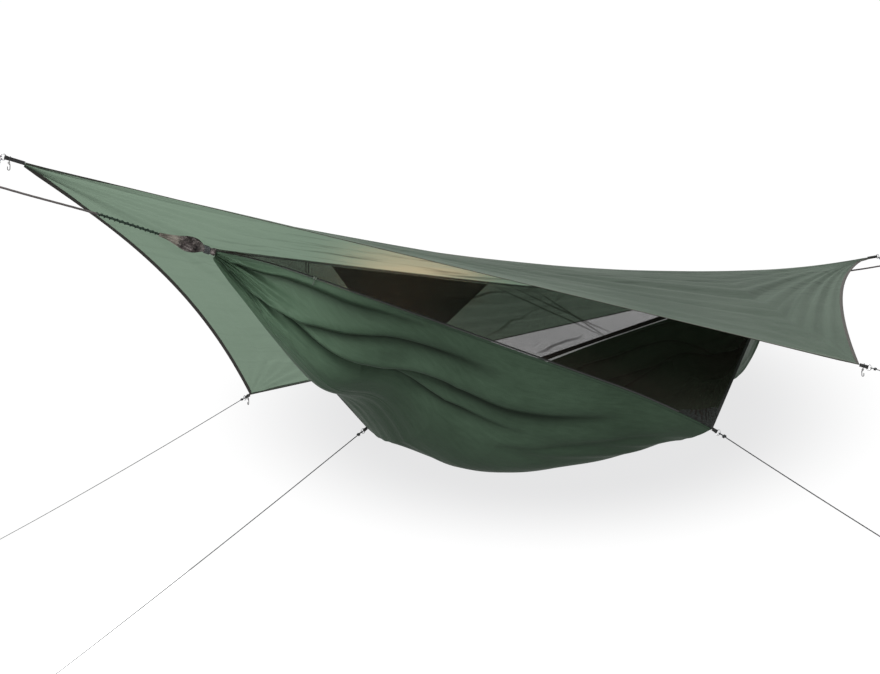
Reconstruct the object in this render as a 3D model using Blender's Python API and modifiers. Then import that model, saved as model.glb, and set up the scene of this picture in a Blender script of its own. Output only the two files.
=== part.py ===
"""Hammock tent: a gathered-end hammock with side tie-outs, a net canopy and a diagonal fly.

Metres, +Z up. The hang frame's origin is midway between the two necks of the hammock,
+X runs from head to foot, and the zip side faces -Y. A root empty then moves the whole
tent so that the face of the head strap that bears on the tree lies at the world's origin.
"""
import math

import bmesh
import bpy
import numpy as np
from mathutils import Matrix, Vector

# Ridgeline and necks
ridgeline_length = 2.54
neck_rise = 0.042
ridgeline_sag = 0.062
ridgeline_thick = 0.003
neck_clear = 0.030

# Hammock body
tie_out_along = 0.381
tie_out_reach = 0.597
near_tie_out_drop = 0.609
far_tie_out_drop = 0.591
seam_bow = 0.050
body_sag = 0.332
fabric_thick = 0.0008
fold_depth = 0.014
side_strap_reach = 0.024
net_thick = 0.0006
net_sag = 0.012
net_end_clear = 0.082
net_ridge_lift = 0.0056

# Edge tapes and zip
tape_width = 0.013
tape_thick = 0.0010
tape_end_gap = 0.0008
chain_head_width = 0.0044
chain_head_height = 0.0020
chain_neck_width = 0.0022
chain_neck_height = 0.0012
chain_root = 0.0004
slider_wall = 0.0012
slider_length = 0.012
zip_stop_length = 0.004
bail_wire = 0.0014
bail_height = 0.0040
bail_span = 0.0062
pull_length = 0.030
pull_width = 0.0052
pull_thick = 0.0016

# Fly
fly_ridge_length = 3.78
fly_corner_along = 0.76
fly_corner_reach = 0.924
fly_head_height = 0.208
fly_foot_height = 0.200
fly_far_drop = 0.453
fly_near_drop = 0.391
fly_sag = 0.170
fly_edge_bow = 0.117
fly_edge_lift = 0.077
fly_fabric_thick = 0.0008
wrinkle_depth = 0.006
binding_width = 0.011
hem_width = 0.010
edge_strip_thick = 0.0016
fly_tip_clear = 0.030
fly_strap_reach = 0.036

# Webbing loops, rings and hooks
webbing_width = 0.012
webbing_thick = 0.0012
ring_radius = 0.0095
ring_wire = 0.003
keeper_cord = 0.0016
keeper_drop = 0.0045
hook_length = 0.024
hook_width = 0.0095
hook_bar = 0.0022
hook_thick = 0.0024
hook_hole = 0.0042
hook_rim = 0.0016

# Gathers, ropes and straps
gather_length = 0.195
gather_radius = 0.0155
gather_neck_radius = 0.0095
gather_tip_radius = 0.0050
rope_thick = 0.007
rope_lashed_slope = 0.235
rope_slope = 0.180
lashed_length = 0.215
rope_reach = 0.770
lashing_cord = 0.0025
whipping_cord = 0.0035
strap_nose = 0.010
strap_reach = 0.260
strap_half_width = 0.075
strap_corner = 0.025
strap_webbing = 0.0024
strap_width = 0.040
eye_rise = 0.0300
eye_reach = 0.045

# Guy lines: cord, bearing from straight out, drop for each metre of run, and length
guy_cord = 0.004
fly_guy_cord = 0.003
fly_guy_bearing = math.radians(15)
side_guy_bearing = math.radians(28)
fly_guy_drop = 0.31
side_guy_drop = 0.63
tie_rise = 0.20
far_fly_guy_length = 2.42
near_fly_guy_length = 0.20
far_side_guy_length = 2.36
near_side_guy_length = 0.78
fly_tie_length = 0.115
slip_knot_cord = 0.0025
head_slip_knot_reach = 0.060
foot_slip_knot_reach = 0.065
guy_eye = 0.012

# Organiser pocket and hang loop on the ridgeline
pocket_head_place = 0.813
pocket_foot_place = 0.173
pocket_depth = 0.220
pocket_thick = 0.003
pocket_hang = 0.0046
pocket_tab_wire = 0.0014
pocket_tab_radius = 0.0030
hang_loop_place = 0.907
hang_loop_width = 0.013
hang_loop_drop = 0.040
hang_loop_cord = 0.003

# Side patches
patch_rise = 0.0012
patch_thick = 0.0010

# Clearances
seat = 0.0003
joint_clear = 0.0004
wind_gap = 0.0006
slope_step = 0.002

# Shares
seam_rise_share = 0.20
seam_fall_share = 0.80
seam_lift_shares = (0.6, 0.8)
ridgeline_sag_power = 1.15
zip_head_share = 0.10
zip_foot_share = 0.95
slider_share = 0.212
body_step_share = 0.01
tape_reach_share = 1 / 6
cord_sag_share = 0.004
pull_waist_shares = (2, 0.5)
pull_wide_share = 0.45
hook_waist_shares = (1.5, 1.8)
strap_eye_tip_share = 0.2
strap_eye_side_share = 0.8
strap_eye_waist_shares = (0.45, 0.75)
pleat_share = 0.16
pleat_least_share = 0.3
whipping_core_share = 1.06
wrinkle_middle_shares = (0.15, -0.28)
wrinkle_width_shares = (0.42, 0.20)
wrinkles_across = 6.5
fold_fade_power = 0.7
ridge_round_share = 0.25
tip_strip_share = 0.45
hook_tip_share = 0.30
keeper_share = 0.60
pocket_bottom_shares = (0.30, 0.62)
sag_station_shares = (-1, -0.906, -0.787, -0.630, -0.394, -0.157, 0.079, 0.300, 0.551, 0.787, 0.906, 1)
sag_shares = (0, 0.18, 0.46, 0.63, 0.48, 0.97, 1.0, 0.56, 0.50, 0.76, 0.50, 0)
body_row_shares = (0, 0.05, 0.11, 0.18, 0.26, 0.34, 0.42, 0.5, 0.58, 0.66, 0.74, 0.82, 0.89, 0.95, 1)
net_row_shares = (0, 0.16, 0.42, 0.70, 1)
fly_row_shares = (0, 0.08, 0.17, 0.27, 0.38, 0.50, 0.64, 0.80, 1)
gather_place_shares = (0, 0.09, 0.24, 0.40, 0.62, 0.82, 1)
gather_swell_shares = (0.60, 0, 0, 0.85, 1.0, 0.45, -0.75)

# Folds run from the head neck: (place along the half ridgeline, place across the body) shares
main_fold_shares = ((-0.97, 0.29), (-0.82, 0.28), (-0.68, 0.27), (-0.50, 0.33), (-0.37, 0.32), (-0.28, 0.21),
                    (-0.18, 0.16), (0.04, 0.10))
branch_fold_shares = ((-0.76, 0.27), (-0.61, 0.18), (-0.38, 0.13), (-0.28, 0.09))
top_fold_shares = ((-0.97, 0.21), (-0.87, 0.12), (-0.73, 0.07), (-0.46, 0.06))
low_fold_shares = ((-0.55, 0.30), (-0.43, 0.36), (-0.26, 0.27), (-0.15, 0.23))
keel_fold_shares = ((-0.95, 0.46), (-0.81, 0.44), (-0.65, 0.44), (-0.41, 0.55), (-0.23, 0.53))
fold_table_shares = ((main_fold_shares, 1.0), (branch_fold_shares, 0.6), (top_fold_shares, 0.6),
                     (low_fold_shares, 0.7), (keel_fold_shares, -0.6))
fold_width_share = 0.045
body_edge_share = 0.03

# Counts
body_cells = (1, 3, 7, 3)
fly_cells = (9, 5)
pleats = 9
lashing_turns = 12
whipping_turns = 5
wrap_turns = 2
slip_knot_turns = 3
points_per_turn = 7
hitch_points = 6
strap_facets = 28

half_ridgeline = ridgeline_length / 2
half_fly = fly_ridge_length / 2
head_neck = Vector((-half_ridgeline, 0, -neck_rise / 2))
foot_neck = Vector((half_ridgeline, 0, neck_rise / 2))
far_tie_out = Vector((-tie_out_along, tie_out_reach, -far_tie_out_drop))
near_tie_out = Vector((tie_out_along, -tie_out_reach, -near_tie_out_drop))
fly_head = Vector((-half_fly, 0, fly_head_height))
fly_foot = Vector((half_fly, 0, fly_foot_height))
fly_far = Vector((-fly_corner_along, fly_corner_reach, -fly_far_drop))
fly_near = Vector((fly_corner_along, -fly_corner_reach, -fly_near_drop))
up = Vector((0, 0, 1))


# Scene, materials and placing

def clear_scene():
    for obj in list(bpy.data.objects):
        bpy.data.objects.remove(obj, do_unlink=True)


def material(name, colour, roughness, metallic=0.0):
    made = bpy.data.materials.get(name)
    if made is None:
        made = bpy.data.materials.new(name)
        made.use_nodes = True
        shader = made.node_tree.nodes["Principled BSDF"]
        shader.inputs["Base Color"].default_value = (*colour, 1.0)
        shader.inputs["Roughness"].default_value = roughness
        shader.inputs["Metallic"].default_value = metallic
    return made


def fly_green():
    return material("fly_green", (0.13, 0.19, 0.14), 0.42)


def body_green():
    return material("body_green", (0.045, 0.10, 0.055), 0.50)


def black_net():
    return material("black_net", (0.012, 0.011, 0.010), 0.75)


def dark_webbing():
    return material("dark_webbing", (0.02, 0.02, 0.02), 0.70)


def grey_tape():
    return material("grey_tape", (0.09, 0.09, 0.09), 0.65)


def dark_rope():
    return material("dark_rope", (0.035, 0.035, 0.04), 0.75)


def grey_metal():
    return material("grey_metal", (0.42, 0.42, 0.43), 0.35, 1.0)


def black_plastic():
    return material("black_plastic", (0.018, 0.018, 0.018), 0.45)


def keep(obj, root, surface):
    """Puts a finished object in the tent's collection, under the root, with its material."""
    for owner in list(obj.users_collection):
        owner.objects.unlink(obj)
    tent.objects.link(obj)
    obj.data.materials.clear()
    obj.data.materials.append(surface)
    obj.parent = root
    return obj


def frame_at(place, along, side):
    """A matrix whose X runs along, whose Y is nearest to side, and whose origin is at place."""
    x = Vector(along).normalized()
    z = x.cross(Vector(side)).normalized()
    y = z.cross(x)
    turn = Matrix((x, y, z)).transposed().to_4x4()
    turn.translation = Vector(place)
    return turn


# Shapes

def cloth(name, rows, thickness, root, surface, pivot=(0, 0, 0)):
    """A closed sheet from a grid of points: an open surface with Solidify."""
    pivot = Vector(pivot)
    mesh = bpy.data.meshes.new(name)
    wide = len(rows[0])
    points = [Vector(p) - pivot for row in rows for p in row]
    faces = [(i * wide + j, i * wide + j + 1, (i + 1) * wide + j + 1, (i + 1) * wide + j)
             for i in range(len(rows) - 1) for j in range(wide - 1)]
    mesh.from_pydata(points, [], faces)
    mesh.shade_smooth()
    obj = bpy.data.objects.new(name, mesh)
    obj.location = pivot
    shell = obj.modifiers.new("Thickness", "SOLIDIFY")
    shell.thickness = thickness
    shell.offset = 0
    return keep(obj, root, surface)


def tube(name, points, thick, root, surface, sides=1, closed=False, pivot=(0, 0, 0)):
    """A cord or wire: a poly spline with a round bevel."""
    pivot = Vector(pivot)
    curve = bpy.data.curves.new(name, "CURVE")
    curve.dimensions = "3D"
    curve.bevel_depth = thick / 2
    curve.bevel_resolution = sides
    curve.use_fill_caps = True
    spline = curve.splines.new("POLY")
    spline.points.add(len(points) - 1)
    for spot, point in zip(spline.points, points):
        spot.co = (*(Vector(point) - pivot), 1)
    spline.use_cyclic_u = closed
    obj = bpy.data.objects.new(name, curve)
    obj.location = pivot
    return keep(obj, root, surface)


def plate(name, outlines, thick, frame, root, surface):
    """A flat outline, with any holes, as a filled 2D curve of the given thickness."""
    curve = bpy.data.curves.new(name, "CURVE")
    curve.dimensions = "2D"
    curve.fill_mode = "BOTH"
    curve.extrude = thick / 2
    for outline in outlines:
        spline = curve.splines.new("POLY")
        spline.points.add(len(outline) - 1)
        for spot, (x, y) in zip(spline.points, outline):
            spot.co = (x, y, 0, 1)
        spline.use_cyclic_u = True
    obj = bpy.data.objects.new(name, curve)
    obj.matrix_local = frame
    return keep(obj, root, surface)


def loft(name, rings, root, surface):
    """A closed solid through rings of equally many points, with flat ends."""
    made = bmesh.new()
    loops = [[made.verts.new(p) for p in ring] for ring in rings]
    for first, second in zip(loops, loops[1:]):
        for k in range(len(first)):
            after = (k + 1) % len(first)
            made.faces.new((first[k], first[after], second[after], second[k]))
    made.faces.new(loops[0][::-1])
    made.faces.new(loops[-1])
    bmesh.ops.recalc_face_normals(made, faces=made.faces)
    mesh = bpy.data.meshes.new(name)
    made.to_mesh(mesh)
    made.free()
    mesh.shade_smooth()
    return keep(bpy.data.objects.new(name, mesh), root, surface)


def arc(centre, radius, start, end, steps):
    """Points on an arc, in degrees."""
    return [(centre[0] + radius * math.cos(math.radians(start + (end - start) * k / steps)),
             centre[1] + radius * math.sin(math.radians(start + (end - start) * k / steps)))
            for k in range(steps + 1)]


def smooth_through(stations, values, at):
    """A smooth curve through values at stations, read at one place."""
    stations, values = np.array(stations, float), np.array(values, float)
    slopes = np.gradient(values, stations)
    k = int(np.clip(np.searchsorted(stations, at) - 1, 0, len(stations) - 2))
    step = stations[k + 1] - stations[k]
    t = (at - stations[k]) / step
    return float((1 + 2 * t) * (1 - t) ** 2 * values[k] + t * (1 - t) ** 2 * step * slopes[k]
                 + t * t * (3 - 2 * t) * values[k + 1] + t * t * (t - 1) * step * slopes[k + 1])


def spread(start, end, cells):
    return [start + (end - start) * k / cells for k in range(cells + 1)]


def least_gap(points, thick):
    """The least gap between parts of a tube that don't lie next to each other."""
    line = np.array([tuple(p) for p in points], float)
    fine = np.concatenate([line[:-1] + (line[1:] - line[:-1]) * s for s in (0.0, 0.25, 0.5, 0.75)])
    order = np.argsort(np.concatenate([np.arange(len(line) - 1) + s for s in (0.0, 0.25, 0.5, 0.75)]))
    fine = fine[order]
    along = np.concatenate([[0], np.cumsum(np.linalg.norm(np.diff(fine, axis=0), axis=1))])
    apart = np.linalg.norm(fine[:, None] - fine[None], axis=2)
    far = np.abs(along[:, None] - along[None]) > 2.5 * thick
    return float(apart[far].min() - thick)


# Outlines of the hammock

def bowed(start, end, t, side):
    """A long seam: straight and parallel to its chord in the middle, drawn in by the net."""
    lift = Vector((0, seam_lift_shares[0] * side, seam_lift_shares[1]))
    if t < seam_rise_share:
        share = 1 - ((seam_rise_share - t) / seam_rise_share) ** 2
    elif t > seam_fall_share:
        share = 1 - ((t - seam_fall_share) / (1 - seam_fall_share)) ** 2
    else:
        share = 1
    return start.lerp(end, t) + lift * (seam_bow * share)


def near_seam(x):
    if x < tie_out_along:
        return bowed(head_neck, near_tie_out, (x + half_ridgeline) / (tie_out_along + half_ridgeline), 1)
    return near_tie_out.lerp(foot_neck, (x - tie_out_along) / (half_ridgeline - tie_out_along))


def far_seam(x):
    if x > -tie_out_along:
        return bowed(foot_neck, far_tie_out, (half_ridgeline - x) / (tie_out_along + half_ridgeline), -1)
    return head_neck.lerp(far_tie_out, (x + half_ridgeline) / (half_ridgeline - tie_out_along))


def ridgeline_at(x):
    t = (x + half_ridgeline) / ridgeline_length
    point = head_neck.lerp(foot_neck, t)
    point.z -= ridgeline_sag * (1 - abs(2 * t - 1) ** ridgeline_sag_power)
    return point


def fold_at(x, v):
    """How far the folds push the body's cloth inwards here, as a share of the fold depth."""
    depth = 0
    for flip in (1, -1):
        place, across = (x, v) if flip == 1 else (-x, 1 - v)
        for line, strength in fold_table_shares:
            first, last = line[0][0] * half_ridgeline, line[-1][0] * half_ridgeline
            if first < place < last:
                middle = smooth_through([p[0] * half_ridgeline for p in line], [p[1] for p in line], place)
                fade = math.sin(math.pi * ((place - first) / (last - first)) ** fold_fade_power)
                depth += strength * fade * math.exp(-((across - middle) / fold_width_share) ** 2)
    return depth * (1 - math.exp(-(v / fold_width_share) ** 2)) * (1 - math.exp(-((1 - v) / fold_width_share) ** 2))


def body_plain(x, v):
    point = near_seam(x).lerp(far_seam(x), v)
    stations = [s * half_ridgeline for s in sag_station_shares]
    point.z -= body_sag * smooth_through(stations, sag_shares, x) * 4 * v * (1 - v)
    return point


def body_at(x, v):
    before, after = max(0, v - body_step_share), min(1, v + body_step_share)
    across = body_plain(x, after) - body_plain(x, before)
    inward = Vector((0, -across.z, across.y)).normalized()
    return body_plain(x, v) + inward * (fold_depth * fold_at(x, v))


def body_edge(x, side):
    """The seam point here, and the unit directions down the body and up the net."""
    seam = near_seam(x) if side < 0 else far_seam(x)
    v = body_edge_share if side < 0 else 1 - body_edge_share
    down = (body_plain(x, v) - seam).normalized()
    rise = (ridgeline_at(x) - seam).normalized()
    return seam, down, rise


def stations_through(places, cells):
    """Stations on both sides of the middle: through the places, outermost first, and mirrored."""
    half = []
    for first, second, count in zip(places, places[1:], cells):
        half += spread(first, second, count)[:-1]
    half.append(places[-1])
    return [-x for x in half] + half[::-1]


seam_length = tie_out_along + half_ridgeline
zip_head_place = zip_head_share * seam_length - half_ridgeline
zip_foot_place = zip_foot_share * seam_length - half_ridgeline
slider_place = slider_share * seam_length - half_ridgeline
seam_rise_place = half_ridgeline - seam_rise_share * seam_length
seam_fall_place = seam_fall_share * seam_length - half_ridgeline
net_end = half_ridgeline - net_end_clear
body_stations = stations_through(
    (half_ridgeline - neck_clear, net_end, seam_rise_place, tie_out_along, seam_fall_place), body_cells)


def tape_reach(x):
    """The edge tapes' width here: full, and less where the seams close up to the neck."""
    opening = (far_seam(x) - near_seam(x)).length
    return min(tape_width, opening * tape_reach_share)


# Hammock pieces

def make_body(root):
    rows = []
    for x in body_stations:
        near, far = (body_edge(x, side) for side in (-1, 1))
        inset = tape_reach(x) + seat
        cut = body_edge_share * inset / (body_plain(x, body_edge_share) - near[0]).length
        row = [body_at(x, cut + (1 - 2 * cut) * v) for v in body_row_shares]
        row[0] = near[0] + near[1] * inset
        row[-1] = far[0] + far[1] * inset
        rows.append(row)
    cloth("hammock_body", rows, fabric_thick, root, body_green())


def net_row(x, side):
    """Points up one side of the net, from its tape to the fold over the ridgeline."""
    seam, _, rise = body_edge(x, side)
    low = seam + rise * (tape_reach(x) + seat)
    high = ridgeline_at(x) + up * net_ridge_lift
    slack = net_sag * (low - high).length / tie_out_reach
    outward = Vector((0, side, -1)).normalized()
    return [low.lerp(high, share) - outward * (slack * 4 * share * (1 - share)) for share in net_row_shares]


def places_between(start, end):
    """The body's own stations from start to end."""
    return [x for x in body_stations if start - seat < x < end + seat]


def make_net(root):
    rows = [net_row(x, -1) + net_row(x, 1)[-2::-1] for x in places_between(-net_end, net_end)]
    cloth("net_canopy", rows, net_thick, root, black_net())


def make_ridgeline(root):
    end = half_ridgeline - neck_clear - 2 * joint_clear
    points = [ridgeline_at(x) for x in spread(-end, end, 16)]
    tube("ridgeline", points, ridgeline_thick, root, dark_rope(), sides=2)


def make_edge_tapes(root):
    """Folded tapes over the seams that have no zip: one leg on the body, one on the net."""
    spans = {"edge_tape_head": (1, -net_end, -tie_out_along), "edge_tape_far": (1, -tie_out_along, net_end),
             "edge_tape_foot": (-1, tie_out_along, net_end)}
    for name, (side, start, end) in spans.items():
        rows = []
        for x in places_between(start, end):
            if abs(x) == tie_out_along:
                x += tape_end_gap if x == start else -tape_end_gap
            seam, down, rise = body_edge(x, side)
            reach = tape_reach(x)
            row = [seam + down * reach, seam, seam + rise * reach]
            rows.append(row if side < 0 else row[::-1])
        cloth(name, rows, tape_thick, root, grey_tape())


def zip_frame():
    """The zip's straight run: its direction, its outward direction, and the way across it."""
    along = (near_tie_out - head_neck).normalized()
    _, down, rise = body_edge(slider_place, -1)
    outward = -(down + rise)
    outward = (outward - along * outward.dot(along)).normalized()
    return along, outward, along.cross(outward)


def make_zip(root):
    gap = chain_neck_width
    body_rows, net_rows = [], []
    for x in places_between(-net_end, tie_out_along):
        x = min(x, tie_out_along - tape_end_gap)
        seam, down, rise = body_edge(x, -1)
        reach = tape_reach(x)
        body_rows.append([seam + down * reach, seam + down * gap])
        net_rows.append([seam + rise * gap, seam + rise * reach])
    cloth("zip_tape_body", body_rows, fabric_thick, root, grey_tape())
    cloth("zip_tape_net", net_rows, fabric_thick, root, grey_tape())

    along, outward, across = zip_frame()
    neck, head = chain_neck_width / 2, chain_head_width / 2
    top = chain_neck_height + chain_head_height
    section = ((-neck, -chain_root), (-neck, chain_neck_height), (-head, chain_neck_height), (-head, top),
               (head, top), (head, chain_neck_height), (neck, chain_neck_height), (neck, -chain_root))
    places = places_between(zip_head_place, zip_foot_place)
    rings = [[near_seam(x) + across * s + outward * n for s, n in section] for x in places]
    loft("zip_chain", rings, root, black_plastic())
    for name, x, way in (("zip_stop_head", places[0], -1), ("zip_stop_foot", places[-1], 1)):
        ends = [near_seam(x + way * reach) for reach in (seat, seat + zip_stop_length)]
        loft(name, [[p + across * s + outward * n for s, n in section] for p in ends], root, grey_metal())


def make_slider(root):
    """The slider clips round the head of the chain, and its pull hangs from a bail."""
    along, outward, across = zip_frame()
    place = near_seam(slider_place)
    inner = chain_head_width / 2 + seat
    outer = inner + slider_wall
    lip = chain_neck_width / 2 + seat
    lip_top = chain_neck_height - seat
    lip_low = lip_top - slider_wall + seat
    roof = chain_neck_height + chain_head_height + seat
    top = roof + slider_wall
    profile = ((-outer, lip_low), (-outer, top), (outer, top), (outer, lip_low), (lip, lip_low), (lip, lip_top),
               (inner, lip_top), (inner, roof), (-inner, roof), (-inner, lip_top), (-lip, lip_top), (-lip, lip_low))
    frame = Matrix((across, outward, along)).transposed().to_4x4()
    frame.translation = place
    plate("zip_slider", [profile], slider_length, frame, root, grey_metal())

    bar = top + bail_height
    half = bail_span / 2
    hoop = [(-half, top + seat), (-half, bar - bail_wire / 2), (-half + bail_wire / 2, bar),
            (half - bail_wire / 2, bar), (half, bar - bail_wire / 2), (half, top + seat)]
    tube("zip_bail", [place + along * a + outward * n for a, n in hoop], bail_wire, root, grey_metal(), pivot=place)

    pivot = place + outward * bar
    fall = (-up - along * (-up).dot(along)).normalized()
    hole = bail_wire / 2 + joint_clear
    eye = hole + bail_wire / 2
    wide = pull_width / 2
    waist = (eye * pull_waist_shares[0], eye * pull_waist_shares[1])
    shoulder = pull_length * pull_wide_share
    outline = arc((0, 0), eye, 60, 300, 8) + [
        (waist[0], -waist[1]), (shoulder, -wide), (pull_length - wide, -wide)] + arc(
        (pull_length - wide, 0), wide, -90, 90, 6)[1:-1] + [
        (pull_length - wide, wide), (shoulder, wide), waist]
    frame = frame_at(pivot, fall, along.cross(fall))
    plate("zip_pull", [outline, arc((0, 0), hole, 0, 330, 11)], pull_thick, frame, root, grey_metal())


def make_patches(root):
    """Reinforcing patches over the net's corner at each tie-out."""
    for name, side, corner in (("side_patch_near", -1, tie_out_along), ("side_patch_far", 1, -tie_out_along)):
        places = sorted(body_stations, key=lambda x: abs(x - corner))[:3]
        rows = []
        for x in sorted(places):
            row = net_row(x, side)[:2]
            lift = (row[1] - row[0]).cross(Vector((1, 0, 0))).normalized() * side
            rows.append([p - lift * patch_rise if lift.y * side < 0 else p + lift * patch_rise for p in row])
        cloth(name, rows if side < 0 else [row[::-1] for row in rows], patch_thick, root, grey_tape())


def make_pocket(root):
    """A flat mesh organiser that hangs from the ridgeline by two tabs and swings."""
    head, foot = ridgeline_at(-pocket_head_place), ridgeline_at(-pocket_foot_place)
    top_head, top_foot = head - up * pocket_hang, foot - up * pocket_hang
    span = top_foot - top_head
    low = [top_head + span * share - up * pocket_depth for share in pocket_bottom_shares]
    rows = []
    for share in spread(0, 1, 3):
        rows.append([top_head.lerp(low[0], share).lerp(top_foot.lerp(low[1], share), k) for k in spread(0, 1, 4)])
    cloth("ridgeline_pocket", rows, pocket_thick, root, black_net(), pivot=head.lerp(foot, 0.5))
    for name, point, way in (("pocket_tab_head", head, 1), ("pocket_tab_foot", foot, -1)):
        centre = point + Vector((way * pocket_tab_wire * 2, 0, -pocket_tab_radius + ridgeline_thick / 2 + seat
                                 + pocket_tab_wire / 2))
        loop = [centre + Vector((0, y, z)) for y, z in arc((0, 0), pocket_tab_radius, 0, 330, 11)]
        tube(name, loop, pocket_tab_wire, root, dark_webbing(), closed=True, pivot=head.lerp(foot, 0.5))


def make_hang_loop(root):
    """A small cord loop under the ridgeline, near the head."""
    half = hang_loop_width / 2 - hang_loop_cord / 2
    start = ridgeline_thick / 2 + joint_clear
    low = hang_loop_drop
    side = [(half, -start), (half, -low / 2), (half, half - low)]
    bend = arc((0, half - low), half, 0, -180, 6)[1:-1]
    other = [(-half, half - low), (-half, -low / 2), (-half, -start)]
    points = [ridgeline_at(x - hang_loop_place) + up * z for x, z in side + bend + other]
    tube("ridgeline_loop", points, hang_loop_cord, root, dark_webbing())


# Suspension

def rope_direction(end):
    return Vector((end, 0, rope_lashed_slope)).normalized()


def gather_start(end):
    neck = foot_neck if end > 0 else head_neck
    return neck - rope_direction(end) * (neck_clear - seat)


def rope_points(end):
    """The rope's middle line, from the gather out to the knot by the tree strap."""
    start = gather_start(end) + rope_direction(end) * (gather_length + seat)
    bend = start + rope_direction(end) * lashed_length
    outer = Vector((end, 0, rope_slope)).normalized()
    neck = foot_neck if end > 0 else head_neck
    run = rope_reach - abs(bend.x - neck.x)
    return start, bend, bend + outer * run, outer


def make_gather(name, end, root):
    """The pleated end of the body and net, drawn together on the rope."""
    start, along = gather_start(end), rope_direction(end)
    across = Vector((0, 1, 0))
    rise = along.cross(across) * end
    rings = []
    for place, swell in zip(gather_place_shares, gather_swell_shares):
        radius = gather_neck_radius + (gather_radius - gather_neck_radius) * swell
        if swell < 0:
            radius = gather_tip_radius
        pleat = pleat_share * max(swell, pleat_least_share) if swell >= 0 else 0
        ring = []
        for k in range(pleats * 4):
            turn = 2 * math.pi * k / (pleats * 4)
            size = radius * (1 + pleat * math.cos(pleats * turn + 2 * place))
            ring.append(start + along * (gather_length * place) + across * (size * math.cos(turn))
                        + rise * (size * math.sin(turn)))
        rings.append(ring)
    loft(name, rings, root, black_net())


def winding(start, along, side, core, cord, turns, steps, pitch):
    """The points of a cord wound round a straight core."""
    other = along.cross(side)
    radius = (core + cord / 2 + wind_gap) / math.cos(math.pi / steps)
    return [start + along * (pitch * k / steps) + side * (radius * math.cos(2 * math.pi * k / steps))
            + other * (radius * math.sin(2 * math.pi * k / steps)) for k in range(turns * steps + 1)]


def make_windings(prefix, end, root):
    along = rope_direction(end)
    start = rope_points(end)[0]
    pitch = (lashed_length - 4 * lashing_cord) / lashing_turns
    lashing = winding(start + along * (2 * lashing_cord), along, up, rope_thick / 2, lashing_cord, lashing_turns,
                      points_per_turn, pitch)
    tube(prefix + "_lashing", lashing, lashing_cord, root, dark_rope())
    neck = gather_start(end) + along * (gather_length * gather_place_shares[1] + whipping_cord / 2)
    steps = points_per_turn + 3
    core = gather_neck_radius * whipping_core_share
    whipping = winding(neck, along, up, core, whipping_cord, whipping_turns, steps, whipping_cord + wind_gap)
    tube(prefix + "_whipping", whipping, whipping_cord, root, dark_rope())
    print(prefix, "lashing gap to itself", round(least_gap(lashing, lashing_cord) * 1000, 2), "mm, whipping",
          round(least_gap(whipping, whipping_cord) * 1000, 2), "mm")


def hitch(cord, first, eye):
    """A hitch in its own frame, from the tail's end to the standing part, which runs along +X.

    The tail winds round the standing part and goes through the eye's points.
    """
    radius = (cord + wind_gap) / math.cos(math.pi / hitch_points)
    pitch = cord + wind_gap
    points = []
    for k in range(wrap_turns * hitch_points + 1):
        turn = 2 * math.pi * k / hitch_points
        points.append((first + pitch * (wrap_turns - k / hitch_points), radius * math.cos(turn),
                       radius * math.sin(turn)))
    return points + eye + [(first, 0, 0)]


def ring_hitch(cord):
    """The hitch round a ring's wire, whose middle is the frame's origin."""
    radius = (ring_wire / 2 + joint_clear + cord / 2) / math.cos(math.pi / 6)
    eye = [(x, y, 0) for x, y in arc((0, 0), radius, 40, 320, 6)]
    return hitch(cord, radius + 2 * cord, eye)


def eye_hitch(cord, size):
    """A hitch with a round eye, whose middle is the frame's origin."""
    eye = [(x, y, 0) for x, y in arc((0, 0), size, 35, 325, 8)]
    return hitch(cord, size + 2 * cord, eye)


def strap_hitch(cord):
    """A hitch with a tall eye through the nose of the tree strap, at the frame's origin."""
    tip, side = eye_rise * strap_eye_tip_share, eye_rise * strap_eye_side_share
    waist = eye_reach * strap_eye_waist_shares[0], eye_rise * strap_eye_waist_shares[1]
    eye = [(waist[0], waist[1], 0), (tip, eye_rise, 0), (0, side, 0), (0, 0, 0), (0, -side, 0),
           (tip, -eye_rise, 0), (waist[0], -waist[1], 0)]
    return hitch(cord, eye_reach, eye)


def put(points, frame):
    return [frame @ Vector(p) for p in points]


def tied_cord(name, hitches, cord, root, surface):
    """A taut cord between two hitches, each given as (local points, frame)."""
    start = put(*hitches[0])
    end = put(*hitches[1])[::-1] if len(hitches) > 1 else []
    first, last = start[-1], end[0] if end else None
    between = []
    if last is not None:
        for share in spread(0, 1, 5)[1:-1]:
            point = first.lerp(last, share)
            point.z -= cord_sag_share * (last - first).length * 4 * share * (1 - share)
            between.append(point)
    points = start + between + end
    print(name, "gap to itself", round(least_gap(points, cord) * 1000, 2), "mm")
    return tube(name, points, cord, root, surface)


def make_rope(name, end, root):
    start, bend, knot, outer = rope_points(end)
    nose = knot + outer * eye_reach
    local = strap_hitch(rope_thick)
    frame = frame_at(nose, -outer, up)
    points = put(local, frame) + [bend.lerp(knot, 0.5), bend, bend.lerp(start, 0.5), start]
    print(name, "gap to itself", round(least_gap(points, rope_thick) * 1000, 2), "mm")
    tube(name, points, rope_thick, root, dark_rope(), sides=2)


def strap_nose_at(end):
    """The middle of the strap's nose: the tilted run of the rope's eye bears on its inner side."""
    _, _, knot, outer = rope_points(end)
    slack = strap_nose - rope_thick / 2 - joint_clear - strap_width / 2 * rope_slope
    return knot + outer * eye_reach + Vector((end * slack, 0, 0))


def belt(rollers, offset, facets):
    """The outline of a belt round rollers given as (x, y, radius)."""
    points = []
    for k in range(facets):
        turn = 2 * math.pi * (k + 0.5) / facets
        way = (math.cos(turn), math.sin(turn))
        x, y, radius = max(rollers, key=lambda r: r[0] * way[0] + r[1] * way[1] + r[2])
        points.append((x + (radius + offset) * way[0], y + (radius + offset) * way[1]))
    return points


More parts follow.
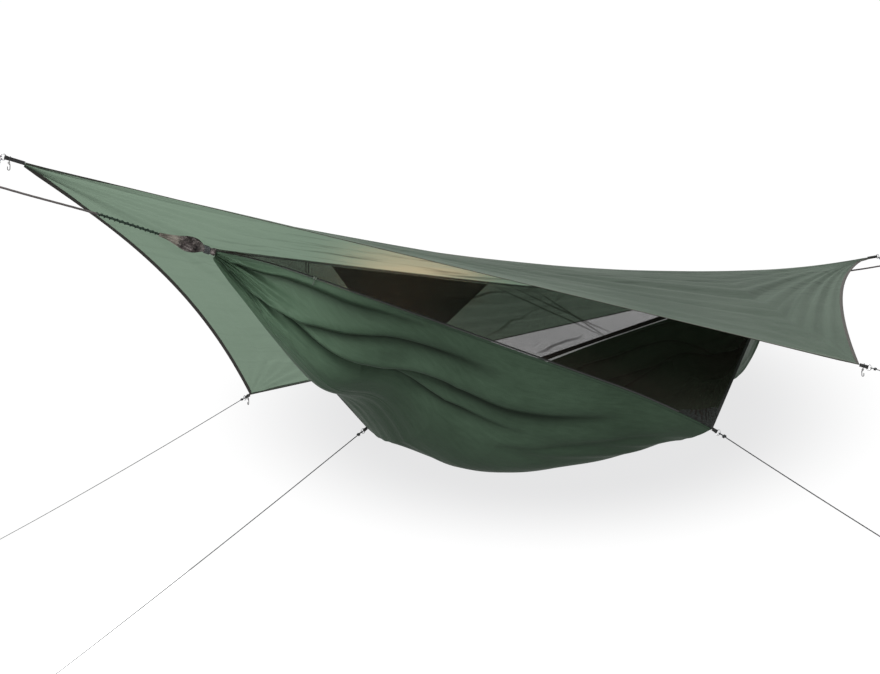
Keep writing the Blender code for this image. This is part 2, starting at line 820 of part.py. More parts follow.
def make_strap(name, end, root):
    """A tree strap: webbing sewn in a loop, with a flat back that bears on the tree."""
    corner = strap_corner
    side = strap_half_width - corner
    back = strap_reach - strap_nose - corner
    rollers = [(0, 0, strap_nose), (back, side, corner), (back, -side, corner)]
    frame = Matrix.Diagonal((end, end, 1, 1))
    frame.translation = strap_nose_at(end)
    facets = strap_facets
    plate(name, [belt(rollers, strap_webbing, facets), belt(rollers, 0, facets)], strap_width, frame, root,
          dark_webbing())


def strap_face(end):
    """The middle of the strap's inner back face, which bears on the tree."""
    corner_facet = math.cos(math.pi / strap_facets)
    back = strap_reach - strap_nose - strap_corner + strap_corner * corner_facet
    return strap_nose_at(end) + Vector((end * back, 0, 0))


# Corners: webbing loop, ring, keeper and hook

def corner_frame(tip, pull):
    """X along the pull, Y across the webbing's thickness, Z up the webbing's width."""
    x = pull.normalized()
    y = up.cross(x).normalized()
    z = x.cross(y)
    frame = Matrix((x, y, z)).transposed().to_4x4()
    frame.translation = tip
    return frame


def make_corner_loop(name, frame, reach, back, root):
    """Webbing folded round the ring's wire and sewn to a tongue that runs back to the cloth."""
    wire = reach - ring_radius
    slot_end = wire + ring_radius - math.sqrt(ring_radius ** 2 - ((webbing_width + ring_wire) / 2) ** 2)
    inner = ring_wire / 2 + joint_clear
    outer = inner + webbing_thick
    half = webbing_thick
    neck = wire - outer * 2
    outline = ([(seat * 2 - back, -half), (neck, -half)] + arc((wire, 0), outer, -120, -90, 2)
               + arc((slot_end, 0), outer, -90, 90, 8) + arc((wire, 0), outer, 90, 120, 2)
               + [(neck, half), (seat * 2 - back, half)])
    hole = (arc((slot_end, 0), inner, -90, 90, 6) + arc((wire, 0), inner, 90, 130, 2)
            + [(neck + webbing_thick, 0)] + arc((wire, 0), inner, -130, -90, 2))
    plate(name, [outline, hole], webbing_width, frame, root, dark_webbing())


def make_ring(name, frame, reach, root):
    bpy.ops.mesh.primitive_torus_add(major_radius=ring_radius, minor_radius=ring_wire / 2, major_segments=20,
                                     minor_segments=6)
    ring = bpy.context.active_object
    ring.name = ring.data.name = name
    centre = frame @ Vector((reach, 0, 0))
    turn = frame @ Matrix.Rotation(math.pi / 2, 4, "X")
    turn.translation = centre
    ring.data.shade_smooth()
    keep(ring, root, grey_metal())
    ring.matrix_local = turn
    return centre


def make_hook(prefix, frame, reach, root):
    """A plastic hook that hangs from a cord keeper round the webbing's tongue."""
    place = (reach - ring_radius) * keeper_share
    wide = webbing_thick + 2 * seat + keeper_cord / 2
    high = webbing_width / 2 + wide
    low = high + keeper_drop
    loop = arc((0, high - wide), wide, 180, 0, 4) + arc((0, wide - low), wide, 0, -180, 6)
    ring = [frame @ Vector((place, y, z)) for y, z in loop]
    tube(prefix + "_keeper", ring, keeper_cord, root, dark_webbing(), closed=True)

    pivot = frame @ Vector((place, 0, -low))
    hole = hook_hole / 2
    eye = hole + hook_rim
    half = hook_width / 2
    bow = hook_length - half
    tip = bow - hook_length * hook_tip_share
    outline = (arc((0, 0), eye, 60, 300, 8) + [(eye * hook_waist_shares[0], -half)] + arc((bow, 0), half, -90, 90, 8)
               + [(tip, half), (tip, half - hook_bar)] + arc((bow, 0), half - hook_bar, 90, -90, 8)
               + [(eye * hook_waist_shares[1], hook_bar - half)])
    side = frame.to_3x3() @ Vector((1, 0, 0))
    level = Vector((side.x, side.y, 0)).normalized()
    hang = frame_at(pivot, -up, level)
    plate(prefix + "_hook", [outline, arc((0, 0), hole, 0, 330, 11)], hook_thick, hang, root, black_plastic())
    return pivot


def guy_direction(side, bearing, drop):
    """Out from a corner: side is +1 on the far side and -1 on the near side."""
    return Vector((-side * math.sin(bearing), side * math.cos(bearing), -drop)).normalized()


def make_corner(prefix, tip, pull, reach, back, hooked, cord, length, root):
    frame = corner_frame(tip, pull)
    make_corner_loop(prefix + "_loop", frame, reach, back, root)
    centre = make_ring(prefix + "_ring", frame, reach, root)
    if hooked:
        make_hook(prefix, frame, reach, root)
    if length:
        wire = centre + pull.normalized() * ring_radius
        start = frame_at(wire, pull, frame.to_3x3() @ Vector((0, 1, 0)))
        far = wire + pull.normalized() * length
        end = frame_at(far, -pull, frame.to_3x3() @ Vector((0, 0, 1)))
        tied_cord(prefix + "_line", [(ring_hitch(cord), start), (eye_hitch(cord, guy_eye), end)], cord, root,
                  dark_rope())
    return centre


def make_slip_knot(name, end, centre, reach, root):
    """A loop of cord from the fly's ring down to a slip knot wound on the rope."""
    bend, knot = rope_points(end)[1:3]
    along = (knot - bend).normalized()
    place = centre + Vector((end * reach, 0, 0))
    target = bend + along * ((place.x - bend.x) / along.x)
    pitch = slip_knot_cord + wind_gap
    wound = winding(target, along, along.cross(Vector((0, end, 0))), rope_thick / 2, slip_knot_cord,
                    slip_knot_turns, points_per_turn, pitch)
    pull = (wound[0] - centre).normalized()
    frame = frame_at(centre + pull * ring_radius, pull, Vector((0, 1, 0)))
    points = put(ring_hitch(slip_knot_cord), frame)
    points += [points[-1].lerp(wound[0], 0.5)] + wound
    print(name, "gap to itself", round(least_gap(points, slip_knot_cord) * 1000, 2), "mm")
    tube(name, points, slip_knot_cord, root, dark_rope())


# Fly

def edge_y(x, side):
    """How far the fly's edge lies from the ridge here, and its height. side is -1 near, 1 far."""
    if side > 0:
        x, ends = -x, (fly_head_height, fly_far_drop, fly_foot_height)
    else:
        ends = (fly_foot_height, fly_near_drop, fly_head_height)
    sharp, blunt, far_end = ends
    corner = fly_corner_along
    if x < corner:
        t = (x + half_fly) / (corner + half_fly)
        return fly_corner_reach * t, far_end + (-blunt - far_end) * t
    t = (x - corner) / (half_fly - corner)
    bow = 4 * t * (1 - t)
    return (fly_corner_reach * (1 - t) - fly_edge_bow * bow, -blunt + (sharp + blunt) * t + fly_edge_lift * bow)


def ridge_height(x):
    share = (x + half_fly) / fly_ridge_length
    straight = fly_head_height + (fly_foot_height - fly_head_height) * share
    return straight - fly_sag * (1 - (2 * share - 1) ** 2)


def wrinkle_at(x, q):
    """Long wrinkles along the ridge of the near panel, fading out to both ends."""
    if q > 0:
        x, q = -x, -q
    place = (x / half_fly - wrinkle_middle_shares[0]) / wrinkle_width_shares[0]
    window = math.exp(-place * place) * math.exp(-((q - wrinkle_middle_shares[1]) / wrinkle_width_shares[1]) ** 2)
    return window * math.sin(2 * math.pi * wrinkles_across * q)


def fly_at(x, q):
    """The fly's surface: q runs from -1 on the near edge over the ridge to 1 on the far edge."""
    reach, low = edge_y(x, -1 if q < 0 else 1)
    soft = ridge_round_share
    share = (math.sqrt(q * q + soft * soft) - soft) / (math.sqrt(1 + soft * soft) - soft)
    z = ridge_height(x) + (low - ridge_height(x)) * share + wrinkle_depth * wrinkle_at(x, q)
    return Vector((x, reach * q, z))


def strip_share(x, side):
    """The share of the panel's reach that its edge strip takes here."""
    along, step = -side * x, slope_step
    bound = along > fly_corner_along - 2 * seat
    first = max(along, fly_corner_along) if bound else along - step
    reach, after = edge_y(-side * first, side)[0], edge_y(-side * (first + step), side)[0]
    width = binding_width if bound else hem_width
    slope = (after - reach) / step
    return min(tip_strip_share, width * math.sqrt(1 + slope * slope) / max(reach, width))


fly_stations = sorted(set(stations_through((half_fly - fly_tip_clear, fly_corner_along, 0), fly_cells)))


def make_fly(root):
    rows = []
    for x in fly_stations:
        near, far = strip_share(x, -1), strip_share(x, 1)
        near_reach, far_reach = edge_y(x, -1)[0], edge_y(x, 1)[0]
        near_end = 1 - near - seat / near_reach
        far_end = 1 - far - seat / far_reach
        row = [fly_at(x, -near_end * s) for s in fly_row_shares[::-1]]
        row += [fly_at(x, far_end * s) for s in fly_row_shares[1:]]
        rows.append(row)
    cloth("fly_canopy", rows, fly_fabric_thick, root, fly_green())
    corner, end = fly_corner_along, half_fly - fly_tip_clear
    strips = {"fly_binding_head": (1, -end, -corner - seat), "fly_hem_far": (1, -corner + seat, end),
              "fly_hem_near": (-1, -end, corner - seat), "fly_binding_foot": (-1, corner + seat, end)}
    for name, (side, start, stop) in strips.items():
        rows = []
        for x in [start] + [s for s in fly_stations if start + seat * 2 < s < stop - seat * 2] + [stop]:
            share = strip_share(x, side)
            row = [fly_at(x, side), fly_at(x, side * (1 - share))]
            rows.append(row if side < 0 else row[::-1])
        cloth(name, rows, edge_strip_thick, root, dark_webbing() if "binding" in name else fly_green())


# Assembly

def make_tent():
    root = bpy.data.objects.new("hang_frame", None)
    tent.objects.link(root)
    root.location = -strap_face(-1)
    make_fly(root)
    make_body(root)
    make_net(root)
    make_ridgeline(root)
    make_edge_tapes(root)
    make_zip(root)
    make_slider(root)
    make_patches(root)
    make_pocket(root)
    make_hang_loop(root)
    for prefix, end in (("head", -1), ("foot", 1)):
        make_gather(prefix + "_gather", end, root)
        make_windings(prefix, end, root)
        make_rope(prefix + "_rope", end, root)
        make_strap(prefix + "_strap", end, root)
    fly_pull = {side: guy_direction(side, fly_guy_bearing, fly_guy_drop) for side in (-1, 1)}
    side_pull = {side: guy_direction(side, side_guy_bearing, side_guy_drop) for side in (-1, 1)}
    tip_back = fly_tip_clear * math.hypot(1, tie_rise)
    reach = fly_strap_reach
    head_ring = make_corner("fly_head", fly_head, Vector((-1, 0, tie_rise)), reach, tip_back, True, fly_guy_cord,
                            fly_tie_length, root)
    foot_ring = make_corner("fly_foot", fly_foot, Vector((1, 0, tie_rise)), reach, tip_back, False,
                            fly_guy_cord, 0, root)
    make_slip_knot("fly_head_slip_knot", -1, head_ring, head_slip_knot_reach, root)
    make_slip_knot("fly_foot_slip_knot", 1, foot_ring, foot_slip_knot_reach, root)
    make_corner("fly_far", fly_far, fly_pull[1], reach, 0, True, fly_guy_cord, far_fly_guy_length, root)
    make_corner("fly_near", fly_near, fly_pull[-1], reach, 0, True, fly_guy_cord, near_fly_guy_length, root)
    make_corner("side_far", far_tie_out, side_pull[1], side_strap_reach, 0, False, guy_cord,
                far_side_guy_length, root)
    make_corner("side_near", near_tie_out, side_pull[-1], side_strap_reach, 0, False, guy_cord,
                near_side_guy_length, root)


clear_scene()
tent = bpy.data.collections.new("hammock_tent")
bpy.context.scene.collection.children.link(tent)
make_tent()
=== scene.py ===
"""Looks of the hammock tent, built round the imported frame. Metres, +Z up.

The pieces are worked out in the hang frame, whose origin is midway between the two necks
of the hammock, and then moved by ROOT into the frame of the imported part.
"""
import math

import bpy
import numpy as np
from mathutils import Matrix, Vector


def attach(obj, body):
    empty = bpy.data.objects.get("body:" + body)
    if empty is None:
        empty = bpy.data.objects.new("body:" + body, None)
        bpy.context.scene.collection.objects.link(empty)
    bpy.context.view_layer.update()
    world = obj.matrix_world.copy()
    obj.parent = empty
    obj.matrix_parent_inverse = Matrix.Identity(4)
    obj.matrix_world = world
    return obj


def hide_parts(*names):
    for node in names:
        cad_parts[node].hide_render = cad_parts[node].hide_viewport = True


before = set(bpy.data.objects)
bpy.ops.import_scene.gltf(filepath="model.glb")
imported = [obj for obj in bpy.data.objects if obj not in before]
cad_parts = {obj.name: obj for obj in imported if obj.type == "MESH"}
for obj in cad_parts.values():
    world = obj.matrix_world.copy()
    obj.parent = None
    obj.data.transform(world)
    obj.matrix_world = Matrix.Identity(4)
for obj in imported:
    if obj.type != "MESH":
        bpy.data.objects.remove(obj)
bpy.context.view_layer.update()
ROOT = np.array((2.330312490463257, 0.0, -0.1448124349117279))
TENT = "tent"

# Dimensions, as in the part's source
HALF = 1.27
NECK_RISE = 0.042
RIDGELINE_SAG = 0.062
RIDGELINE_THICK = 0.003
NECK_CLEAR = 0.030
TIE_ALONG = 0.381
TIE_REACH = 0.597
SEAM_BOW = 0.050
BODY_SAG = 0.332
FOLD_DEPTH = 0.014
NET_SAG = 0.012
NET_LIFT = 0.0056
TAPE_WIDTH = 0.013
FLY_HALF = 1.89
FLY_ALONG = 0.76
FLY_REACH = 0.924
FLY_HEAD = 0.208
FLY_FOOT = 0.200
FLY_FAR_DROP = 0.453
FLY_NEAR_DROP = 0.391
FLY_SAG = 0.170
FLY_BOW = 0.117
FLY_LIFT = 0.077
FLY_TIP_CLEAR = 0.030
RING_RADIUS = 0.0095
RING_WIRE = 0.003
GATHER_LENGTH = 0.195
ROPE_THICK = 0.007
LASHED = 0.215
ROPE_REACH = 0.770
GUY_CORD = 0.004
FLY_CORD = 0.003
SLIP_CORD = 0.0025
SEAT = 0.0003
JOINT_CLEAR = 0.0004
WIND_GAP = 0.0006
HEAD_NECK = np.array((-HALF, 0, -NECK_RISE / 2))
FOOT_NECK = -HEAD_NECK
FAR_TIE = np.array((-TIE_ALONG, TIE_REACH, -0.591))
NEAR_TIE = np.array((TIE_ALONG, -TIE_REACH, -0.609))
UP = np.array((0.0, 0.0, 1.0))
# How far the body sags at stations along it, as a share of BODY_SAG
SAG_AT = np.array((-1, -0.906, -0.787, -0.630, -0.394, -0.157, 0.079, 0.225, 0.300, 0.551, 0.787, 0.906, 1)) * HALF
SAG_SHARES = np.array((0, 0.175, 0.42, 0.62, 0.33, 0.97, 0.97, 0.745, 0.50, 0.40, 0.76, 0.50, 0))
# The solid's broad folds: points (x / HALF, v) and strength
FOLDS = (
    (((-0.97, 0.29), (-0.82, 0.28), (-0.68, 0.27), (-0.50, 0.33), (-0.37, 0.32), (-0.28, 0.21), (-0.18, 0.16),
      (0.04, 0.10)), 1.0),
    (((-0.76, 0.27), (-0.61, 0.18), (-0.38, 0.13), (-0.28, 0.09)), 0.6),
    (((-0.97, 0.21), (-0.87, 0.12), (-0.73, 0.07), (-0.46, 0.06)), 0.6),
    (((-0.55, 0.30), (-0.43, 0.36), (-0.26, 0.27), (-0.15, 0.23)), 0.7),
    (((-0.95, 0.46), (-0.81, 0.44), (-0.65, 0.44), (-0.41, 0.55), (-0.23, 0.53)), -0.6),
)
FOLD_WIDTH = 0.045

# Measures of the finer forms and of the cloth's surface
SEAM_GAP = 0.0024
TAPE_END = 1.236
NOSE_REACH = 0.045
LASHING_CORD = 0.0025
LASHING_TURNS = 12
WHIPPING_CORD = 0.0035
RIDGE_DROP = 0.010
ROPE_SLOPE = 0.235
KNOT_SLOPE = 0.180
TOOTH_PITCH = 0.0026
CHAIN_SPAN = (-1.0225, 0.2709)
RIP_WIDTH = 0.0005
FOLD_SHADE = 0.78
CREASE_HEIGHT = 0.0060
CRINKLE_HEIGHT = 0.0007
THREAD_HEIGHT = 0.00006

# Camera and stage, in the part's frame. The place and size of the painted shadow's oval are in metres on the wall
CAMERA_PLACE = (-0.2797, -3.96, -0.8448)
CAMERA_LIFT = 0.094
CAMERA_TURN = -0.513
CAMERA_LENS = 51.136
FLOOR_RADIUS = 9.0
FLOOR_LEVEL = -2.045
WALL_AWAY = 30
SHADOW_OVAL_PLACE = (2.64, 1.07)
SHADOW_OVAL_SIZE = (6.9, 2.85)

# Creases of the body's near wall: points (x, v), depth, width above the line and width below it
CREASES = (
    (((-1.235, 0.20), (-1.15, 0.128), (-1.08, 0.09), (-1.02, 0.060), (-0.95, 0.048), (-0.79, 0.046), (-0.69, 0.040),
      (-0.54, 0.044)), 0.030, 0.013, 0.050),
    (((-0.98, 0.268), (-0.86, 0.194), (-0.80, 0.173), (-0.66, 0.141), (-0.52, 0.132), (-0.39, 0.095), (-0.26, 0.078)),
     0.024, 0.014, 0.045),
    (((-1.235, 0.30), (-1.18, 0.37), (-1.10, 0.365), (-1.03, 0.303), (-0.97, 0.275), (-0.85, 0.286), (-0.77, 0.288),
      (-0.69, 0.297), (-0.61, 0.308), (-0.50, 0.272), (-0.41, 0.216), (-0.32, 0.188), (-0.24, 0.171), (-0.05, 0.135),
      (0.14, 0.09)), 0.040, 0.013, 0.060),
    (((-0.68, 0.33), (-0.52, 0.346), (-0.44, 0.318), (-0.38, 0.28), (-0.26, 0.237), (-0.12, 0.22)),
     0.024, 0.011, 0.045),
    (((-1.225, 0.44), (-1.16, 0.440), (-1.10, 0.446), (-1.03, 0.52), (-0.96, 0.60)), 0.020, 0.010, 0.040),
    (((-0.20, 0.30), (0.02, 0.24), (0.22, 0.16), (0.34, 0.10)), 0.007, 0.018, 0.050),
)
# The faint low ridge under the folds: points (x, v)
LOW_SEAM = ((-1.225, 0.35), (-1.15, 0.40), (-1.07, 0.40), (-0.98, 0.41), (-0.88, 0.46), (-0.80, 0.50), (-0.73, 0.53),
            (-0.60, 0.57), (-0.42, 0.58))
# Creases where the near net doubles over itself: points (x, share of its height)
NET_CREASES = (
    ((-0.17, 0.96), (0.20, 0.50)),
    ((0.03, 0.93), (0.21, 0.48)),
    ((-0.08, 0.96), (0.24, 0.56)),
    ((-0.36, 0.03), (0.16, 0.91)),
    ((-0.19, 0.04), (0.09, 0.47)),
    ((-0.47, 0.42), (-0.10, 0.90)),
)


# Vectors and curves

def unit(v):
    v = np.asarray(v, float)
    return v / np.maximum(np.linalg.norm(v, axis=-1, keepdims=True), 1e-12)


def smooth_through(stations, values, at):
    """A smooth curve through values at stations, read at many places."""
    stations, values, at = (np.asarray(a, float) for a in (stations, values, at))
    slopes = np.gradient(values, stations)
    k = np.clip(np.searchsorted(stations, at) - 1, 0, len(stations) - 2)
    step = stations[k + 1] - stations[k]
    t = (at - stations[k]) / step
    return ((1 + 2 * t) * (1 - t) ** 2 * values[k] + t * (1 - t) ** 2 * step * slopes[k]
            + t * t * (3 - 2 * t) * values[k + 1] + t * t * (t - 1) * step * slopes[k + 1])


def run_of(points, axis=0):
    """The running length along a line, or along one way of a grid."""
    steps = np.linalg.norm(np.diff(points, axis=axis), axis=-1)
    return np.concatenate([np.zeros_like(steps.take([0], axis)), np.cumsum(steps, axis)], axis)


def rounded(points, step, closed=False):
    """A smooth line through the points, in even steps."""
    points = np.asarray(points, float)
    if closed:
        points = np.vstack([points[-1], points, points[:2]])
    else:
        points = np.vstack([2 * points[0] - points[1], points, 2 * points[-1] - points[-2]])
    fine = []
    for a, b, c, d in zip(points, points[1:], points[2:], points[3:]):
        t = np.linspace(0, 1, max(2, int(np.linalg.norm(c - b) / step * 2)), endpoint=False)[:, None]
        fine.append(0.5 * (2 * b + (c - a) * t + (2 * a - 5 * b + 4 * c - d) * t ** 2
                           + (3 * b - a - 3 * c + d) * t ** 3))
    fine = np.vstack(fine + [points[-2][None]])
    along = run_of(fine)
    at = np.linspace(0, along[-1], max(2, int(round(along[-1] / step))) + 1)
    if closed:
        at = at[:-1]
    return np.column_stack([np.interp(at, along, fine[:, k]) for k in range(3)])


def waves(seed, count, low, high):
    """Random phases, directions and frequencies of a few sine waves."""
    draw = np.random.default_rng(seed)
    return [(draw.uniform(low, high), draw.uniform(0, 2 * math.pi), draw.uniform(-1, 1)) for _ in range(count)]


def ripples(seed, count, low, high, along, across):
    """The sum of a few sine waves over a grid."""
    return sum(np.cos(2 * math.pi * (frequency * along + lean * across) + phase)
               for frequency, phase, lean in waves(seed, count, low, high))


# Meshes

def placed(name, data, body=None):
    """An object in the scene, which rides on a body if one is named."""
    obj = bpy.data.objects.new(name, data)
    bpy.context.scene.collection.objects.link(obj)
    if body:
        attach(obj, body)
    return obj


def stands_for(obj, node_name):
    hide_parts(node_name)
    return obj


def mesh_object(name, points, faces, uvs, body, surface, smooth=True):
    """A mesh piece from points in the hang frame, which rides on a body."""
    mesh = bpy.data.meshes.new(name)
    mesh.from_pydata((np.reshape(points, (-1, 3)) + ROOT).tolist(), [], faces)
    if uvs is not None:
        layer = mesh.uv_layers.new(name="metres")
        loops = np.empty(len(mesh.loops), np.int32)
        mesh.loops.foreach_get("vertex_index", loops)
        layer.data.foreach_set("uv", np.reshape(uvs, (-1, 2))[loops].ravel())
    if smooth:
        mesh.shade_smooth()
    mesh.materials.append(surface)
    return placed(name, mesh, body)


def grid_faces(rows, columns, wrap=False):
    last = columns if wrap else columns - 1
    i, j = np.meshgrid(np.arange(rows - 1), np.arange(last), indexing="ij")
    after = (j + 1) % columns
    return np.stack([i * columns + j, i * columns + after, (i + 1) * columns + after, (i + 1) * columns + j],
                    -1).reshape(-1, 4).tolist()


def capped_faces(rows, columns):
    """The faces of a closed tube of points, with a flat face at each end."""
    ends = [list(range(columns))[::-1], [(rows - 1) * columns + k for k in range(columns)]]
    return grid_faces(rows, columns, wrap=True) + ends


def grid_normals(grid):
    return unit(np.cross(np.gradient(grid, axis=0), np.gradient(grid, axis=1)))


def uv_of(along, across):
    """Both coordinates of each point, where either may be the same for a whole row or column."""
    return np.stack(np.broadcast_arrays(along, across), -1)


def sheet(name, grid, surface, uvs=None, body=TENT):
    """A single layer of cloth over a grid of points."""
    rows, columns = grid.shape[:2]
    if uvs is None:
        middle, across = columns // 2, run_of(grid, 1)
        uvs = uv_of(run_of(grid[:, middle])[:, None], across - across[:, middle, None])
    return mesh_object(name, grid, grid_faces(rows, columns), uvs, body, surface)


def add_marks(obj, name, values):
    """A value at each point of a piece, which its material reads."""
    layer = obj.data.attributes.new(name, "FLOAT", "POINT")
    layer.data.foreach_set("value", np.asarray(values, np.float32).ravel())


def grid_area(grid):
    a, b, c, d = grid[:-1, :-1], grid[:-1, 1:], grid[1:, 1:], grid[1:, :-1]
    halves = np.cross(b - a, c - a), np.cross(c - a, d - a)
    return float(sum(np.linalg.norm(half, axis=2) for half in halves).sum() / 2)


def band(name, grid, thick, surface, from_last=False):
    """A strip of webbing or tape: a grid of points across it, with a thickness and rounded edges."""
    half = thick / 2
    out, side = grid_normals(grid) * half, unit(np.gradient(grid, axis=1)) * half * 0.6
    ring = np.concatenate([grid[:, :1] - side[:, :1], grid + out, grid[:, -1:] + side[:, -1:],
                           (grid - out)[:, ::-1]], axis=1)
    width = run_of(grid, 1)
    if from_last:
        width = width[:, -1:] - width
    v = np.concatenate([width[:, :1], width, width[:, -1:], width[:, ::-1]], 1)
    faces = capped_faces(*ring.shape[:2])
    return mesh_object(name, ring, faces, uv_of(run_of(grid[:, 0])[:, None], v), TENT, surface)


def carried_frames(points, closed=False):
    """Two unit directions across a line at each of its points, turned along it without a twist."""
    tangent = unit(np.gradient(points, axis=0))
    if closed:
        tangent = unit(np.roll(points, -1, axis=0) - np.roll(points, 1, axis=0))
    side = unit(np.cross(tangent[0], UP if abs(tangent[0][2]) < 0.9 else (1.0, 0, 0)))
    sides = [side]
    for t in tangent[1:]:
        side = unit(side - t * side.dot(t))
        sides.append(side)
    sides = np.array(sides)
    return sides, np.cross(tangent, sides)


def tube(name, points, thick, surface, body=TENT, sides=12, closed=False, relief=0.0, strands=4, lay=0.02):
    """A round cord along a line; relief raises the strands of its braid."""
    points = np.asarray(points, float)
    one, two = carried_frames(points, closed)
    along = run_of(points)[:, None]
    turn = np.linspace(0, 2 * math.pi, sides, endpoint=False)
    bulge = np.ones((len(points), sides))
    if relief:
        phase = 2 * math.pi * along / lay
        bulge += relief * np.maximum(np.cos(strands * turn + phase), np.cos(strands * turn - phase)) - relief * 0.6
    if not closed:
        bulge[[0, -1]] *= 0.82
    round_it = one[:, None] * np.cos(turn)[None, :, None] + two[:, None] * np.sin(turn)[None, :, None]
    ring = points[:, None] + round_it * (bulge * thick / 2)[..., None]
    faces = capped_faces(len(points), sides)
    if closed:
        last = (len(points) - 1) * sides
        faces[-2:] = [[last + k, last + (k + 1) % sides, (k + 1) % sides, k] for k in range(sides)]
    return mesh_object(name, ring, faces, uv_of(along, turn[None] / (2 * math.pi)), body, surface)


def plate(name, outlines, thick, place, surface, body=TENT, edge=0.0004):
    """A flat outline, with any holes, and rounded edges. place is its matrix in the hang frame."""
    curve = bpy.data.curves.new(name, "CURVE")
    curve.dimensions = "2D"
    curve.fill_mode = "BOTH"
    curve.extrude = thick / 2 - edge
    curve.bevel_depth = edge
    curve.bevel_resolution = 2
    curve.offset = -edge
    for outline in outlines:
        spline = curve.splines.new("POLY")
        spline.points.add(len(outline) - 1)
        for spot, (x, y) in zip(spline.points, outline):
            spot.co = (x, y, 0, 1)
        spline.use_cyclic_u = True
    helper = placed(name + "_outline", curve)
    bpy.context.view_layer.update()
    mesh = bpy.data.meshes.new_from_object(helper.evaluated_get(bpy.context.evaluated_depsgraph_get()))
    bpy.data.objects.remove(helper, do_unlink=True)
    mesh.name = name
    mesh.materials.clear()
    mesh.materials.append(surface)
    mesh.transform(Matrix.Translation(ROOT.tolist()) @ place)
    mesh.shade_smooth()
    mesh.set_sharp_from_angle(angle=math.radians(50))
    return placed(name, mesh, body)


def matrix_of(x, y, z, place):
    turn = Matrix([[float(a) for a in row] for row in (x, y, z)]).transposed().to_4x4()
    turn.translation = [float(a) for a in place]
    return turn


def frame_at(place, along, side):
    """A matrix whose X runs along, whose Y is nearest to side, and whose origin is at place."""
    x = unit(along)
    z = unit(np.cross(x, side))
    return matrix_of(x, np.cross(z, x), z, place)


def put(points, place):
    return np.array([tuple(place @ Vector(p)) for p in points])


def arc(centre, radius, start, end, steps):
    turn = np.radians(np.linspace(start, end, steps + 1))
    return [(centre[0] + radius * math.cos(a), centre[1] + radius * math.sin(a)) for a in turn]


# Materials

class Signal:
    """What a node gives out. Its arithmetic adds maths nodes after it."""

    def __init__(self, made, key=0):
        self.socket = made.outputs[key]
        self.tree = self.socket.id_data

    def then(self, operation, *values):
        return Signal(node(self.tree, "ShaderNodeMath", dict(enumerate((self, *values))), operation=operation))

    def __add__(self, other):
        return self.then("ADD", other)

    def __sub__(self, other):
        return self.then("SUBTRACT", other)

    def __mul__(self, other):
        return self.then("MULTIPLY", other)

    def ranged(self, low, high, to_low, to_high):
        return Signal(node(self.tree, "ShaderNodeMapRange", {0: self, 1: low, 2: high, 3: to_low, 4: to_high}))


def feed(socket, value):
    """Gives an input a signal, a colour or another value."""
    if isinstance(value, Signal):
        value.tree.links.new(value.socket, socket)
    elif socket.type == "RGBA":
        socket.default_value = (*value, 1.0)
    else:
        socket.default_value = value


def node(tree, kind, inputs=None, **settings):
    made = tree.nodes.new(kind)
    for key, value in settings.items():
        setattr(made, key, value)
    for key, value in (inputs or {}).items():
        feed(made.inputs[key], value)
    return made


def new_material(name, roughness=0.6, metallic=0.0, specular=0.5):
    made = bpy.data.materials.new(name)
    made.use_nodes = True
    shader = made.node_tree.nodes["Principled BSDF"]
    shader.inputs["Roughness"].default_value = roughness
    shader.inputs["Metallic"].default_value = metallic
    shader.inputs["Specular IOR Level"].default_value = specular
    return made, made.node_tree, shader


def metres_uv(tree):
    """The piece's own coordinates in metres: U along it and V across it."""
    where = Signal(node(tree, "ShaderNodeUVMap", uv_map="metres"))
    parts = node(tree, "ShaderNodeSeparateXYZ", {0: where})
    return where, Signal(parts, 0), Signal(parts, 1)


def object_place(tree):
    return Signal(node(tree, "ShaderNodeTexCoord"), "Object")


def mark_of(tree, name):
    """A value that the piece carries at each of its points."""
    return Signal(node(tree, "ShaderNodeAttribute", attribute_name=name), 2)


def noise(where, scale, detail=3.0, roughness=0.55, stretch=None):
    if stretch:
        where = Signal(node(where.tree, "ShaderNodeMapping", {"Vector": where, "Scale": (stretch, 1.0, 1.0)}))
    return Signal(node(where.tree, "ShaderNodeTexNoise", {"Vector": where, "Scale": scale, "Detail": detail,
                                                          "Roughness": roughness}))


def ramp(value, *stops):
    made = node(value.tree, "ShaderNodeValToRGB", {0: value})
    elements = made.color_ramp.elements
    while len(elements) < len(stops):
        elements.new(0.5)
    for element, (place, colour) in zip(elements, stops):
        element.position = place
        element.color = (*colour, 1.0)
    return Signal(made)


def ridges(coordinate, period):
    """A smooth row of ridges: 0 between them and 1 on them."""
    return (coordinate * (2 * math.pi / period)).then("SINE").ranged(-1.0, 1.0, 0.0, 1.0)


def lines(coordinate, period, width):
    """Narrow lines: 1 on them and 0 between them."""
    return coordinate.then("PINGPONG", period / 2).ranged(width / 2, width * 0.75, 1.0, 0.0)


def mix_colour(share, first, second):
    return Signal(node(share.tree, "ShaderNodeMix", {0: share, 6: first, 7: second}, data_type="RGBA"), 2)


def bump(shader, height, strength=0.9):
    made = Signal(node(height.tree, "ShaderNodeBump", {"Height": height, "Strength": strength, "Distance": 1.0}))
    feed(shader.inputs["Normal"], made)
    return made


def grey(level):
    return (level, level, level)


def times(colour, share):
    return tuple(c * share for c in colour)


